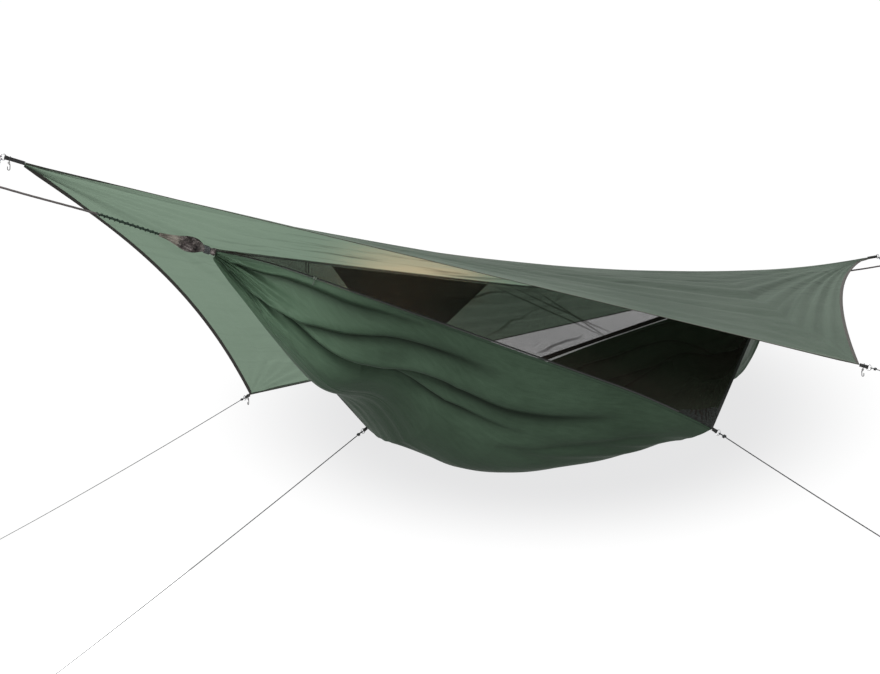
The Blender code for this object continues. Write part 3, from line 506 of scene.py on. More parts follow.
def cloth_material(name, dark, light, thread, rip, roughness, through=0.0, glow=None, wrinkle=1.0, piping=None,
                   specular=0.2, streak=0.30, pull_shade=0.0):
    """Thin woven cloth: threads, a ripstop grid, blotches, crinkles and light that comes through; where asked, painted
    shade along creases and in streaks on tension wrinkles.
    """
    made, tree, shader = new_material(name, roughness, specular=specular)
    where, along, across = metres_uv(tree)
    blotch = noise(object_place(tree), 2.3, 4.0)
    fine = noise(where, 60.0, 3.0, stretch=0.35)
    threads = ridges(along, thread) * ridges(across, thread)
    grid = lines(along, rip, RIP_WIDTH).then("MAXIMUM", lines(across, rip, RIP_WIDTH))
    shade = blotch * 0.7 + fine * 0.3 - grid * 0.06 + threads * 0.04
    colour = ramp(shade, (0.30, dark), (0.70, light))
    if piping:
        # Painted shade: the colour darkens towards near black along the creases, by the marks named fold
        colour = mix_colour(mark_of(tree, "fold") * FOLD_SHADE, colour, times(dark, 0.22))
        mark = mark_of(tree, "piping").ranged(0.35, 0.5, 0.0, 1.0)
        colour = mix_colour(mark, colour, piping)
    # Painted shade: dark streaks in the fly's colour along its tension wrinkles, strongest near the ridge and weaker
    # towards the head end
    if pull_shade:
        middle = across.then("ABSOLUTE").ranged(0.28, 0.48, 1.0, 0.1)
        pull = noise(where, 46.0, 4.0, 0.6, stretch=0.045).ranged(0.46, 0.34, 0.0, pull_shade)
        pull = pull * (along.ranged(-1.25, -0.80, 0.15, 1.0) * middle)
        colour = mix_colour(pull * 0.45, colour, times(dark, 0.45))
    feed(shader.inputs["Base Color"], colour)
    feed(shader.inputs["Roughness"], fine.ranged(0.3, 0.7, roughness - 0.06, roughness + 0.08))
    creases = noise(where, 14.0, 5.0, 0.62, stretch=streak)
    crinkle = noise(where, 95.0, 2.0, 0.5, stretch=0.55)
    height = creases * (CREASE_HEIGHT * wrinkle) + crinkle * (CRINKLE_HEIGHT * wrinkle)
    height = height + threads * THREAD_HEIGHT + grid * (2 * THREAD_HEIGHT)
    normal = bump(shader, height)
    if through:
        passing = node(tree, "ShaderNodeBsdfTranslucent", {"Color": glow, "Normal": normal})
        share = through
        # Painted shade: the same streaks also dim the light that comes through the cloth
        if pull_shade:
            feed(passing.inputs["Color"], mix_colour(pull, glow, times(glow, 0.35)))
        if piping:
            feed(passing.inputs["Color"], mix_colour(mark, glow, piping))
            share = mark.ranged(0.0, 1.0, through, 0.8)
        both = node(tree, "ShaderNodeMixShader", {0: share, 1: Signal(shader), 2: Signal(passing)})
        feed(tree.nodes["Material Output"].inputs[0], Signal(both))
    return made


def net_material(name, colour, pitch, thread, doubled=False, hole=0.0):
    """Insect net: dark threads with open meshes between them, and closed where it lies double."""
    made, tree, shader = new_material(name, 0.8, specular=0.06)
    where, along, across = metres_uv(tree)
    feed(shader.inputs["Base Color"], mix_colour(noise(where, 9.0), times(colour, 0.6), times(colour, 1.5)))
    threads = lines(along, pitch, thread).then("MAXIMUM", lines(across, pitch, thread))
    cover = threads.ranged(0.0, 1.0, hole, 0.96)
    if doubled:
        cover = cover.then("MAXIMUM", mark_of(tree, "doubled").ranged(0.1, 0.9, 0.0, 0.80))
    feed(shader.inputs["Alpha"], cover)
    return made


def bundle_material(name):
    """Net and cloth drawn together: lacy, mottled folds, and a lighter cap at the rope's end."""
    made, tree, shader = new_material(name, 0.8, specular=0.1)
    where, along, _ = metres_uv(tree)
    place = object_place(tree)
    fine = noise(place, 230.0, 3.0, 0.6)
    shade = noise(place, 42.0, 4.0, 0.62) * 0.62 + fine * 0.38
    lace = ramp(shade, (0.40, (0.008, 0.007, 0.007)), (0.50, (0.045, 0.038, 0.036)), (0.62, (0.17, 0.15, 0.145)))
    cap = ramp(shade, (0.40, (0.060, 0.055, 0.046)), (0.60, (0.20, 0.18, 0.155)))
    feed(shader.inputs["Base Color"], mix_colour(along.ranged(0.120, 0.136, 0.0, 1.0), lace, cap))
    bump(shader, noise(where, 120.0, 4.0, 0.6, stretch=0.4) * 0.0030 + fine * 0.0008)
    return made


def webbing_material(name, dark, light, rib, stitch=(), thread=None, edge=None):
    """Woven webbing or tape: ribs across it, a twill along it and rows of stitches."""
    made, tree, shader = new_material(name, 0.75, specular=0.15)
    where, along, across = metres_uv(tree)
    weave = ridges(along + across * 0.35, rib) * 0.6 + ridges(across, rib * 0.55) * 0.4
    colour = ramp(weave * 0.55 + noise(where, 120.0) * 0.45, (0.2, dark), (0.8, light))
    height = weave * 0.00022
    if stitch:
        rows = [(across - v).then("ABSOLUTE").ranged(0.0003, 0.0005, 1.0, 0.0) for v in stitch]
        row = rows[0] if len(rows) == 1 else rows[0].then("MAXIMUM", rows[1])
        mark = row * along.then("PINGPONG", 0.0018).ranged(0.0003, 0.0006, 0.0, 1.0)
        colour = mix_colour(mark, colour, thread)
        height = height + mark * 0.0003
    if edge:
        width, tint = edge
        colour = mix_colour(across.ranged(width * 0.85, width, 1.0, 0.0), colour, tint)
    feed(shader.inputs["Base Color"], colour)
    bump(shader, height)
    return made


def cord_material(name, dark, light, pitch, turns=4.0, dyed=None):
    """A braided cord: two sets of crossing strands round it, dyed up to a length if so said."""
    made, tree, shader = new_material(name, 0.8, specular=0.15)
    where, along, around = metres_uv(tree)
    lead, wrap = along * (1.0 / pitch), around * turns
    braid = ridges(lead + wrap, 1.0).then("MAXIMUM", ridges(lead - wrap, 1.0))
    colour = ramp(braid * 0.7 + noise(where, 300.0, 2.0) * 0.3, (0.25, dark), (0.85, light))
    if dyed:
        end, tint = dyed
        colour = mix_colour(along.ranged(end - 0.01, end, 1.0, 0.0), colour, tint)
    feed(shader.inputs["Base Color"], colour)
    bump(shader, braid * 0.0004)
    return made


def metal_material(name, colour, roughness):
    made, tree, shader = new_material(name, roughness, metallic=1.0)
    worn = noise(object_place(tree), 260.0, 4.0)
    feed(shader.inputs["Base Color"], mix_colour(worn, times(colour, 0.75), colour))
    feed(shader.inputs["Roughness"], worn.ranged(0.3, 0.7, roughness - 0.08, roughness + 0.12))
    bump(shader, worn * 0.00005, 0.6)
    return made


def plastic_material(name, colour, roughness):
    made, tree, shader = new_material(name, roughness)
    grain = noise(object_place(tree), 900.0, 2.0)
    feed(shader.inputs["Base Color"], mix_colour(grain, times(colour, 0.8), times(colour, 1.3)))
    bump(shader, grain * 0.00006, 0.5)
    return made


def object_webbing(name, dark, light):
    """Webbing for a carried-over node, which has no coordinates of its own."""
    made, tree, shader = new_material(name, 0.75, specular=0.15)
    place = object_place(tree)
    parts = node(tree, "ShaderNodeSeparateXYZ", {0: place})
    weave = ridges(Signal(parts, 2), 0.0011) * ridges(Signal(parts, 0) + Signal(parts, 1), 0.0018)
    shade = weave * 0.6 + noise(place, 350.0) * 0.4
    feed(shader.inputs["Base Color"], ramp(shade, (0.2, dark), (0.8, light)))
    bump(shader, weave * 0.0002)
    return made


fly_cloth = cloth_material("fly_cloth", (0.066, 0.090, 0.070), (0.106, 0.134, 0.108), 0.0006, 0.006, 0.55, 0.46,
                           (0.155, 0.215, 0.160), specular=0.12, streak=0.16, pull_shade=0.8)
body_cloth = cloth_material("body_cloth", (0.028, 0.050, 0.030), (0.058, 0.096, 0.062), 0.0006, 0.008, 0.50, 0.03,
                            (0.04, 0.07, 0.04), 0.8, (0.75, 0.76, 0.75), 0.12, 0.12)
patch_cloth = cloth_material("patch_cloth", grey(0.004), (0.026, 0.027, 0.027), 0.0008, 0.004, 0.38, wrinkle=2.5)
net_cloth = net_material("net_cloth", (0.017, 0.012, 0.010), 0.0013, 0.00021, True, 0.24)
pocket_net = net_material("pocket_net", (0.007, 0.006, 0.005), 0.0016, 0.00095)
bundle_cloth = bundle_material("bundle_cloth")
binding_webbing = webbing_material("binding_webbing", (0.042, 0.040, 0.036), (0.088, 0.084, 0.076), 0.0012,
                                   (0.0090,), (0.07, 0.07, 0.065))
hem_cloth = webbing_material("hem_cloth", (0.078, 0.100, 0.078), (0.118, 0.142, 0.114), 0.0009, (0.0085,),
                             (0.05, 0.045, 0.035), edge=(0.0042, (0.022, 0.019, 0.014)))
seam_tape = webbing_material("seam_tape", grey(0.014), (0.045, 0.044, 0.043), 0.0009, (0.0025, 0.0105), grey(0.06))
zip_tape_green = webbing_material("zip_tape_green", (0.020, 0.038, 0.023), (0.048, 0.080, 0.052), 0.0008, (0.0080,),
                                  (0.05, 0.07, 0.05))
zip_tape_black = webbing_material("zip_tape_black", grey(0.008), (0.026, 0.026, 0.025), 0.0008, (0.0080,),
                                  grey(0.05))
strap_webbing = webbing_material("tree_strap_webbing", grey(0.014), (0.050, 0.050, 0.048), 0.0022, (0.004, 0.036),
                                 grey(0.09))
plain_webbing = object_webbing("plain_webbing", grey(0.012), (0.050, 0.050, 0.048))
rope_cord = cord_material("rope_cord", (0.036, 0.032, 0.032), (0.120, 0.108, 0.106), 0.0060, 6.0,
                          dyed=(0.206, (0.018, 0.030, 0.022)))
thin_cord = cord_material("thin_cord", (0.018, 0.019, 0.020), (0.075, 0.080, 0.082), 0.0032)
winding_cord = cord_material("winding_cord", (0.006, 0.014, 0.009), (0.034, 0.056, 0.042), 0.0028)
ring_metal = metal_material("ring_metal", (0.55, 0.55, 0.56), 0.30)
slider_metal = metal_material("slider_metal", (0.70, 0.69, 0.66), 0.28)
dark_metal = metal_material("dark_metal", grey(0.10), 0.40)
hook_plastic = plastic_material("hook_plastic", grey(0.020), 0.42)
teeth_plastic = plastic_material("teeth_plastic", (0.032, 0.033, 0.032), 0.45)


# The hammock's surfaces

def bowed(start, end, t, side):
    share = np.where(t < 0.2, 1 - ((0.2 - t) / 0.2) ** 2, np.where(t > 0.8, 1 - ((t - 0.8) / 0.2) ** 2, 1.0))
    lift = np.array((0, 0.6 * side, 0.8))
    return start + (end - start) * t[:, None] + lift * (SEAM_BOW * share)[:, None]


def seam_at(x, side):
    """The seam where net and body meet: bowed to the tie-out on its side and straight after it."""
    x = np.atleast_1d(np.asarray(x, float)) * -side
    start, tie, end = (HEAD_NECK, NEAR_TIE, FOOT_NECK) if side < 0 else (FOOT_NECK, FAR_TIE, HEAD_NECK)
    first = bowed(start, tie, (x + HALF) / (TIE_ALONG + HALF), -side)
    last = tie + (end - tie) * ((x - TIE_ALONG) / (HALF - TIE_ALONG))[:, None]
    return np.where((x < TIE_ALONG)[:, None], first, last)


def ridgeline_at(x):
    x = np.atleast_1d(np.asarray(x, float))
    t = (x + HALF) / (2 * HALF)
    points = HEAD_NECK + (FOOT_NECK - HEAD_NECK) * t[:, None]
    points[:, 2] -= RIDGELINE_SAG * (1 - np.abs(2 * t - 1) ** 1.15)
    return points


def tape_reach(x):
    opening = np.linalg.norm(seam_at(x, 1) - seam_at(x, -1), axis=1)
    return np.minimum(TAPE_WIDTH, opening / 6)


def line_through(line, place, scale=1.0):
    """A line of points (x, v): its two ends, the share of it passed at each place, and its v there."""
    at, values = np.array(line).T
    first, last = at[0] * scale, at[-1] * scale
    inside = np.clip(place, first, last)
    return first, last, (inside - first) / (last - first), smooth_through(at * scale, values, inside)


def fold_at(x, v):
    """Over a grid: the depth of the solid's broad folds as a share, the crisp creases, and the painted shade along
    them, which is dark lines for the colour in their valleys.
    """
    depth, crisp, painted_crease_shade = np.zeros((3, len(x), len(v)))
    for place, across in ((x, v), (-x, 1 - v)):
        for line, strength in FOLDS:
            _, _, share, middle = line_through(line, place, HALF)
            fade = (np.sin(math.pi * share ** 0.7) * strength)[:, None]
            depth += fade * np.exp(-((across[None] - middle[:, None]) / FOLD_WIDTH) ** 2)
        for line, deep, above, below in CREASES:
            first, last, share, middle = line_through(line, place)
            size = np.minimum(deep, 0.30 * np.maximum(place + HALF, 0)) * np.sin(math.pi * share ** 0.6) ** 0.8
            apart = across[None] - middle[:, None]
            over, under = np.exp(-(apart / above) ** 2), np.exp(-np.abs(apart / below) ** 1.25)
            lip = np.exp(-((apart + above * 3.0) / (above * 2.4)) ** 2)
            crisp += size[:, None] * (np.where(apart < 0, over, under) - 0.45 * lip)
            # Painted shade: a dark line along each crease's valley, which darkens the body's colour
            over, under = np.exp(-(apart / (above * 0.75)) ** 2), np.exp(-np.abs(apart / (below * 0.42)) ** 1.4)
            fade = np.clip((place - first) * 14, 0, 1) * np.clip((last - place) * 5, 0, 1) * min(1, deep / 0.024)
            painted_crease_shade = np.maximum(painted_crease_shade, fade[:, None] * np.where(apart < 0, over, under))
        first, last, _, middle = line_through(LOW_SEAM, place)
        inside = (np.clip((place - first) * 12, 0, 1) * np.clip((last - place) * 6, 0, 1))[:, None]
        crisp -= 0.0030 * inside * np.exp(-np.abs((across[None] - middle[:, None]) / 0.0045) ** 1.5)
    hold = (1 - np.exp(-(v / 0.030) ** 2)) * (1 - np.exp(-((1 - v) / 0.030) ** 2))
    return depth * hold, crisp * hold, painted_crease_shade * hold


def body_plain(x, v):
    """The sagging cloth without its folds: v runs from the near seam under the body to the far seam."""
    near, far = seam_at(x, -1)[:, None], seam_at(x, 1)[:, None]
    points = near + (far - near) * v[None, :, None]
    points[..., 2] -= (BODY_SAG * smooth_through(SAG_AT, SAG_SHARES, x))[:, None] * 4 * (v * (1 - v))[None]
    return points


def body_grid(x, v):
    """The body's cloth with its folds, the fan of pleats at each neck and small waves, and the painted shade of its
    creases.
    """
    plain = body_plain(x, v)
    across = np.gradient(plain, axis=1)
    inward = unit(np.stack([np.zeros(across.shape[:2]), -across[..., 2], across[..., 1]], -1))
    depth, crisp, painted_crease_shade = fold_at(x, v)
    push = FOLD_DEPTH * depth * 0.6 + crisp
    to_neck = np.minimum(x + HALF, HALF - x)[:, None]
    hold = (np.sin(math.pi * v) ** 0.5)[None]
    fan = 0.0
    for frequency, phase, lean in waves(5, 4, 6.0, 15.0):
        fan = fan + np.abs(np.cos(math.pi * frequency * v[None] + phase + lean * 3 * to_neck)) * 2 - 1.2
    size = np.minimum(0.0065, 0.060 * to_neck) * np.exp(-(to_neck / 0.24) ** 1.4)
    push = push + size * fan * hold
    ripple = 0.0
    for frequency, phase, lean in waves(8, 6, 5.0, 17.0):
        drift = 0.4 * np.sin(1.7 * x[:, None] + phase)
        ripple = ripple + np.cos(2 * math.pi * (frequency * v[None] + lean * 1.1 * x[:, None] + drift) + phase)
    calm = 1 - 0.75 * np.exp(-((v[None] - 0.5) / 0.16) ** 4)
    push = push + 0.0009 * ripple * hold * calm * np.minimum(1, to_neck / 0.25)
    return plain + inward * push[..., None], painted_crease_shade


def edge_frames(x, side):
    """The seam's points, and the unit directions down the body and up the net."""
    seam = seam_at(x, side)
    v = np.array([0.03 if side < 0 else 0.97])
    down = unit(body_plain(x, v)[:, 0] - seam)
    rise = unit(ridgeline_at(x) - seam)
    return seam, down, rise


def make_body():
    x = np.unique(np.concatenate([np.linspace(-1.24, 1.24, 460), [-TIE_ALONG, TIE_ALONG]]))
    grid, painted_crease_shade = body_grid(x, np.linspace(0, 1, 330))
    for side, column in ((-1, 0), (1, -1)):
        seam, down, _ = edge_frames(x, side)
        grid[:, column] = seam + down * SEAM_GAP
    body = sheet("body_sheet", grid, body_cloth)
    piping = np.zeros(grid.shape[:2])
    piping[:, -6:-4] = (np.clip((x + 0.12) * 8, 0, 1) * np.clip((0.95 - x) * 5, 0, 1))[:, None]
    add_marks(body, "piping", piping)
    # The creases' painted shade, which the body's material mixes into its colour
    add_marks(body, "fold", painted_crease_shade)
    return stands_for(body, "hammock_body"), grid_area(grid)


def net_marks(x, shares):
    """How far the near net is doubled at each place of its grid."""
    low, high = seam_at(x, -1), ridgeline_at(x)
    place = low[:, None] + (high - low)[:, None] * shares[None, :, None]
    marks = np.zeros(place.shape[:2])
    for line in NET_CREASES:
        a, b = (seam_at(q, -1)[0] + (ridgeline_at(q) - seam_at(q, -1))[0] * share for q, share in line)
        t = np.clip(((place - a) @ (b - a)) / ((b - a) @ (b - a)), 0, 1)
        apart = np.linalg.norm(place - a - t[..., None] * (b - a), axis=2)
        marks = np.maximum(marks, np.exp(-(apart / 0.0085) ** 2) * np.sin(math.pi * np.clip(t, 0.03, 0.97)) ** 0.3)
    return marks


def net_side(x, shares, side):
    """One half of the net, from the seam up to the ridgeline."""
    seam, _, rise = edge_frames(x, side)
    low, high = seam + rise * SEAM_GAP, ridgeline_at(x) + UP * NET_LIFT
    slack = NET_SAG * np.linalg.norm(low - high, axis=1) / TIE_REACH
    s = shares[None, :, None]
    bow = slack[:, None] * 4 * (shares * (1 - shares))[None]
    ripple = ripples(11 if side < 0 else 12, 7, 2.0, 7.0, x[:, None], 2.6 * shares[None])
    inward = (0.0022 * ripple * np.sin(math.pi * shares)[None] - bow)[..., None]
    return low[:, None] * (1 - s) + high[:, None] * s + unit((0, side, -1.0)) * inward


def make_net():
    end = HALF - 0.034
    x = np.unique(np.concatenate([np.linspace(-end, end, 560), [-TIE_ALONG, TIE_ALONG]]))
    shares = np.linspace(0, 1, 110)
    count = len(shares)
    near, marks = net_side(x, shares, -1), net_marks(x, shares)
    near[..., 1] += 0.004 * marks
    grid = np.concatenate([near, net_side(x, shares, 1)[:, -2::-1]], axis=1)
    height = run_of(grid, 1)
    flat = uv_of(x[:, None], height - height[:, count - 1, None])
    # The far half's meshes are turned and scaled, so that the two halves don't make stripes together
    flat[:, count:] = flat[:, count:] @ np.array(((1.08, 0.844), (-0.844, 1.08)))
    net = sheet("net_sheet", grid, net_cloth, flat)
    add_marks(net, "doubled", np.concatenate([marks, np.zeros((len(x), count - 1))], axis=1))
    return stands_for(net, "net_canopy"), grid_area(grid)


def make_tapes():
    bend = 0.0012
    for name, side, start, end in (("edge_tape_head", 1, -TAPE_END, -TIE_ALONG),
                                   ("edge_tape_far", 1, -TIE_ALONG, TAPE_END),
                                   ("edge_tape_foot", -1, TIE_ALONG, TAPE_END)):
        x = np.linspace(start, end, int(abs(end - start) / 0.008))
        seam, down, rise = edge_frames(x, side)
        reach, out = tape_reach(x)[:, None], -unit(down + rise) * bend
        grid = seam[:, None] + np.stack([down * reach, down * reach * 0.5, down * bend + out * 0.3, out,
                                         rise * bend + out * 0.3, rise * reach * 0.5, rise * reach], 1)
        stands_for(band(name + "_strip", grid if side < 0 else grid[:, ::-1], 0.0010, seam_tape), name)
    x = np.linspace(-TAPE_END, TIE_ALONG - 0.0008, 210)
    seam, down, rise = edge_frames(x, -1)
    reach = tape_reach(x)[:, None]
    gap = np.minimum(0.0022, reach * 0.4)
    for name, way, flip, surface in (("zip_tape_body", down, 1, zip_tape_green),
                                     ("zip_tape_net", rise, -1, zip_tape_black)):
        grid = np.stack([seam + way * (gap + (reach - gap) * s) for s in (1.0, 0.66, 0.33, 0.0)][::flip], 1)
        stands_for(band(name + "_strip", grid, 0.0008, surface), name)


# The zip

ZIP_ALONG = unit(NEAR_TIE - HEAD_NECK)
SLIDER_X = 0.212 * (TIE_ALONG + HALF) - HALF


def zip_frame():
    _, down, rise = (a[0] for a in edge_frames(np.array([SLIDER_X]), -1))
    outward = -(down + rise)
    outward = unit(outward - ZIP_ALONG * outward.dot(ZIP_ALONG))
    return ZIP_ALONG, outward, np.cross(ZIP_ALONG, outward)


def make_chain():
    """Interlocked teeth along the zip: two rows of rounded hooks that mesh in the middle."""
    _, outward, across = zip_frame()
    line = seam_at(np.linspace(*CHAIN_SPAN, 600), -1)
    along = run_of(line)
    profile = [(-0.0023, 0.0002), (-0.0023, 0.0024), (-0.0010, 0.0031), (0.0007, 0.0031), (0.0011, 0.0024),
               (0.0011, 0.0009), (-0.0006, 0.0002)]
    middle = 0.0017
    wide = len(profile)
    points, faces = [], []
    for k in range(int(along[-1] / TOOTH_PITCH)):
        side = 1 if k % 2 else -1
        at = (k + 0.5) * TOOTH_PITCH
        centre, ahead = (np.array([np.interp(s, along, line[:, a]) for a in range(3)]) for s in (at, at + 0.001))
        tangent = unit(ahead - centre)
        first = len(points)
        for share, size in ((-0.50, 0.82), (-0.34, 1.0), (0.34, 1.0), (0.50, 0.82)):
            points += [centre + tangent * (TOOTH_PITCH * 0.88 * share) + across * (side * s * size)
                       + outward * (middle + (n - middle) * size) for s, n in profile]
        faces += [[first + corner for corner in face] for face in capped_faces(4, wide)]
    teeth = mesh_object("zip_teeth", points, faces, None, TENT, teeth_plastic, smooth=False)
    stands_for(teeth, "zip_chain")


# Cords: the points of each route, as in the part's source

def hitch(cord, first, eye):
    radius = (cord + WIND_GAP) / math.cos(math.pi / 6)
    pitch = cord + WIND_GAP
    points = [(first + pitch * (2 - k / 6), radius * math.cos(math.pi * k / 3), radius * math.sin(math.pi * k / 3))
              for k in range(13)]
    return points + eye + [(first, 0, 0)]


def ring_hitch(cord):
    radius = (RING_WIRE / 2 + JOINT_CLEAR + cord / 2) / math.cos(math.pi / 6)
    return hitch(cord, radius + 2 * cord, [(x, y, 0) for x, y in arc((0, 0), radius, 40, 320, 6)])


def eye_hitch(cord, size):
    return hitch(cord, size + 2 * cord, [(x, y, 0) for x, y in arc((0, 0), size, 35, 325, 8)])


def strap_hitch(cord):
    rise, reach = 0.030, NOSE_REACH
    eye = [(reach * 0.45, rise * 0.75, 0), (rise * 0.2, rise, 0), (0, rise * 0.8, 0), (0, 0, 0), (0, -rise * 0.8, 0),
           (rise * 0.2, -rise, 0), (reach * 0.45, -rise * 0.75, 0)]
    return hitch(cord, reach, eye)


def rope_direction(end):
    return unit((end, 0, ROPE_SLOPE))


def gather_start(end):
    return (FOOT_NECK if end > 0 else HEAD_NECK) - rope_direction(end) * (NECK_CLEAR - SEAT)


def rope_points(end):
    start = gather_start(end) + rope_direction(end) * (GATHER_LENGTH + SEAT)
    bend = start + rope_direction(end) * LASHED
    outer = unit((end, 0, KNOT_SLOPE))
    neck = FOOT_NECK if end > 0 else HEAD_NECK
    return start, bend, bend + outer * (ROPE_REACH - abs(bend[0] - neck[0])), outer


def declare_cord(obj, points, node_name):
    points = points + ROOT
    round(float(run_of(points)[-1]), 3)
    stands_for(obj, node_name)


def make_rope(prefix, end):
    start, bend, knot, outer = rope_points(end)
    nose = knot + outer * NOSE_REACH
    points = put(strap_hitch(ROPE_THICK), frame_at(nose, -outer, UP))
    points = np.vstack([points, (bend + knot) / 2, bend, (bend + start) / 2, start])[::-1]
    line = rounded(points, 0.0025)
    rope = tube(prefix + "_rope_braid", line, ROPE_THICK, rope_cord, sides=20, relief=0.05, strands=5, lay=0.034)
    declare_cord(rope, line, prefix + "_rope")


def pull_axes(pull):
    """Along the pull, level across it, and the third way."""
    x = unit(pull)
    y = unit(np.cross(UP, x))
    return x, y, np.cross(x, y)


def tied_cord(prefix, tip, pull, reach, cord, length):
    """A guy line: from its hitch on the ring out to the eye at its far end."""
    x, y, z = pull_axes(pull)
    wire = tip + x * (reach + RING_RADIUS)
    start = put(ring_hitch(cord), frame_at(wire, x, y))
    end = put(eye_hitch(cord, 0.012), frame_at(wire + x * length, -x, z))[::-1]
    first, last = start[-1], end[0]
    share = np.linspace(0, 1, 6)[1:-1, None]
    droop = 0.016 * np.linalg.norm(last - first) * share * (1 - share)
    between = first + (last - first) * share - droop * UP
    line = rounded(np.vstack([start, between, end]), 0.0022 if length < 1 else 0.004)
    made = tube(prefix + "_guy", line, cord, thin_cord, sides=10, relief=0.05, strands=3, lay=0.018)
    declare_cord(made, line, prefix + "_line")


def winding(start, along, side, core, cord, turns, steps, pitch):
    """Turns of a cord round a core."""
    other = np.cross(along, side)
    radius = core + cord / 2 + WIND_GAP
    at = np.arange(turns * steps + 1) / steps
    turn = 2 * math.pi * at
    return (start + along * (pitch * at)[:, None] + side * (radius * np.cos(turn))[:, None]
            + other * (radius * np.sin(turn))[:, None])


def make_slip_knot(prefix, end, centre, reach):
    bend, knot = rope_points(end)[1:3]
    along = unit(knot - bend)
    target = bend + along * ((centre[0] + end * reach - bend[0]) / along[0])
    side = np.cross(along, (0, end, 0))
    wound = winding(target, along, side, ROPE_THICK / 2, SLIP_CORD, 3, 24, SLIP_CORD + WIND_GAP)
    pull = unit(wound[0] - centre)
    start = put(ring_hitch(SLIP_CORD), frame_at(centre + pull * RING_RADIUS, pull, (0, 1.0, 0)))
    head = rounded(np.vstack([start, (start[-1] + wound[0]) / 2, wound[0]]), 0.0012)
    line = np.vstack([head[:-1], wound])
    made = tube(prefix + "_slip_cord", line, SLIP_CORD, thin_cord, sides=10)
    declare_cord(made, line, prefix + "_slip_knot")


FLY_A = np.array((-FLY_HALF, 0, FLY_HEAD))
FLY_C = np.array((FLY_HALF, 0, FLY_FOOT))
FLY_B = np.array((-FLY_ALONG, FLY_REACH, -FLY_FAR_DROP))
FLY_D = np.array((FLY_ALONG, -FLY_REACH, -FLY_NEAR_DROP))


def guy_direction(side, bearing, drop):
    bearing = math.radians(bearing)
    return unit((-side * math.sin(bearing), side * math.cos(bearing), -drop))


CORNERS = {
    "fly_head": (FLY_A, unit((-1, 0, 0.20)), 0.036, FLY_CORD, 0.115),
    "fly_foot": (FLY_C, unit((1, 0, 0.20)), 0.036, FLY_CORD, 0),
    "fly_far": (FLY_B, guy_direction(1, 15, 0.31), 0.036, FLY_CORD, 2.42),
    "fly_near": (FLY_D, guy_direction(-1, 15, 0.31), 0.036, FLY_CORD, 0.20),
    "side_far": (FAR_TIE, guy_direction(1, 28, 0.63), 0.024, GUY_CORD, 2.36),
    "side_near": (NEAR_TIE, guy_direction(-1, 28, 0.63), 0.024, GUY_CORD, 0.78),
}
HOOKED = ("fly_head", "fly_far", "fly_near")


def make_cords():
    for prefix, (tip, pull, reach, cord, length) in CORNERS.items():
        if length:
            tied_cord(prefix, tip, pull, reach, cord, length)
    for prefix, end in (("head", -1), ("foot", 1)):
        make_rope(prefix, end)
        tip, pull, reach = CORNERS["fly_" + prefix][:3]
        make_slip_knot("fly_" + prefix, end, tip + pull * reach, 0.060 if end < 0 else 0.065)


# Rings, hooks and corner webbing

def dress(name, surface):
    """A better material in the slot of a carried-over node."""
    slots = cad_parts[name].data.materials
    slots.clear()
    slots.append(surface)


def make_corner(prefix):
    """The ring at a corner, its webbing loop's material, and the keeper and hook that some corners have."""
    tip, pull, reach, _, _ = CORNERS[prefix]
    x, y, z = pull_axes(pull)
    turn = np.linspace(0, 2 * math.pi, 48, endpoint=False)
    circle = tip + x * reach + np.outer(np.cos(turn), x) * RING_RADIUS + np.outer(np.sin(turn), z) * RING_RADIUS
    ring = tube(prefix + "_ring_metal", circle, RING_WIRE, ring_metal, prefix + "_ring_body", sides=16, closed=True)
    stands_for(ring, prefix + "_ring")
    dress(prefix + "_loop", plain_webbing)
    if prefix not in HOOKED:
        return
    place = matrix_of(x, y, z, tip)
    hook_at = (reach - RING_RADIUS) * 0.60
    wide = 0.0012 + 2 * SEAT + 0.0008
    high = 0.006 + wide
    low = high + 0.0045
    outline = arc((0, high - wide), wide, 180, 0, 8) + arc((0, wide - low), wide, 0, -180, 12)
    line = put([(hook_at, a, b) for a, b in outline], place)
    keeper = tube(prefix + "_keeper_cord", rounded(line, 0.0008, True), 0.0016, thin_cord, sides=8, closed=True)
    stands_for(keeper, prefix + "_keeper")
    hole, rim, width, length, bar = 0.0021, 0.0016, 0.0095, 0.024, 0.0022
    eye, half = hole + rim, width / 2
    bow = length - half
    hook_tip = bow - length * 0.30
    shape = (arc((0, 0), eye, 60, 300, 20) + [(eye * 1.5, -half)] + arc((bow, 0), half, -90, 90, 20)
             + [(hook_tip, half), (hook_tip, half - bar)] + arc((bow, 0), half - bar, 90, -90, 20)
             + [(eye * 1.8, bar - half)])
    pivot = put([(hook_at, 0, -low)], place)[0]
    hook = plate(prefix + "_hook_moulding", [shape, arc((0, 0), hole, 0, 345, 23)], 0.0024,
                 frame_at(pivot, -UP, unit((x[0], x[1], 0))), hook_plastic, prefix + "_hook_body", 0.0005)
    stands_for(hook, prefix + "_hook")


# Fly

def edge_y(x, side):
    """How far out and how high an edge of the fly is at x: the far edge is the near one turned by half a turn."""
    if side > 0:
        x, start, corner, end, trim = -x, FLY_FOOT, -FLY_FAR_DROP, FLY_HEAD, 1
    else:
        start, corner, end, trim = FLY_HEAD, -FLY_NEAR_DROP, FLY_FOOT, 0
    t = (x + FLY_HALF) / (FLY_ALONG + FLY_HALF)
    s = (x - FLY_ALONG) / (FLY_HALF - FLY_ALONG)
    bow = 4 * s * (1 - s) * (1 + trim * (0.06 - 0.45 * s * s))
    first = x < FLY_ALONG
    reach = np.where(first, FLY_REACH * t, FLY_REACH * (1 - s) - FLY_BOW * bow)
    low = np.where(first, start + (corner - start) * t, corner + (end - corner) * s + FLY_LIFT * bow)
    return reach, low


def ridge_height(x):
    share = (x + FLY_HALF) / (2 * FLY_HALF)
    across = (2 * share - 1) ** 2
    return FLY_HEAD + (FLY_FOOT - FLY_HEAD) * share - FLY_SAG * (1 - across) - RIDGE_DROP * (1 - across ** 4)


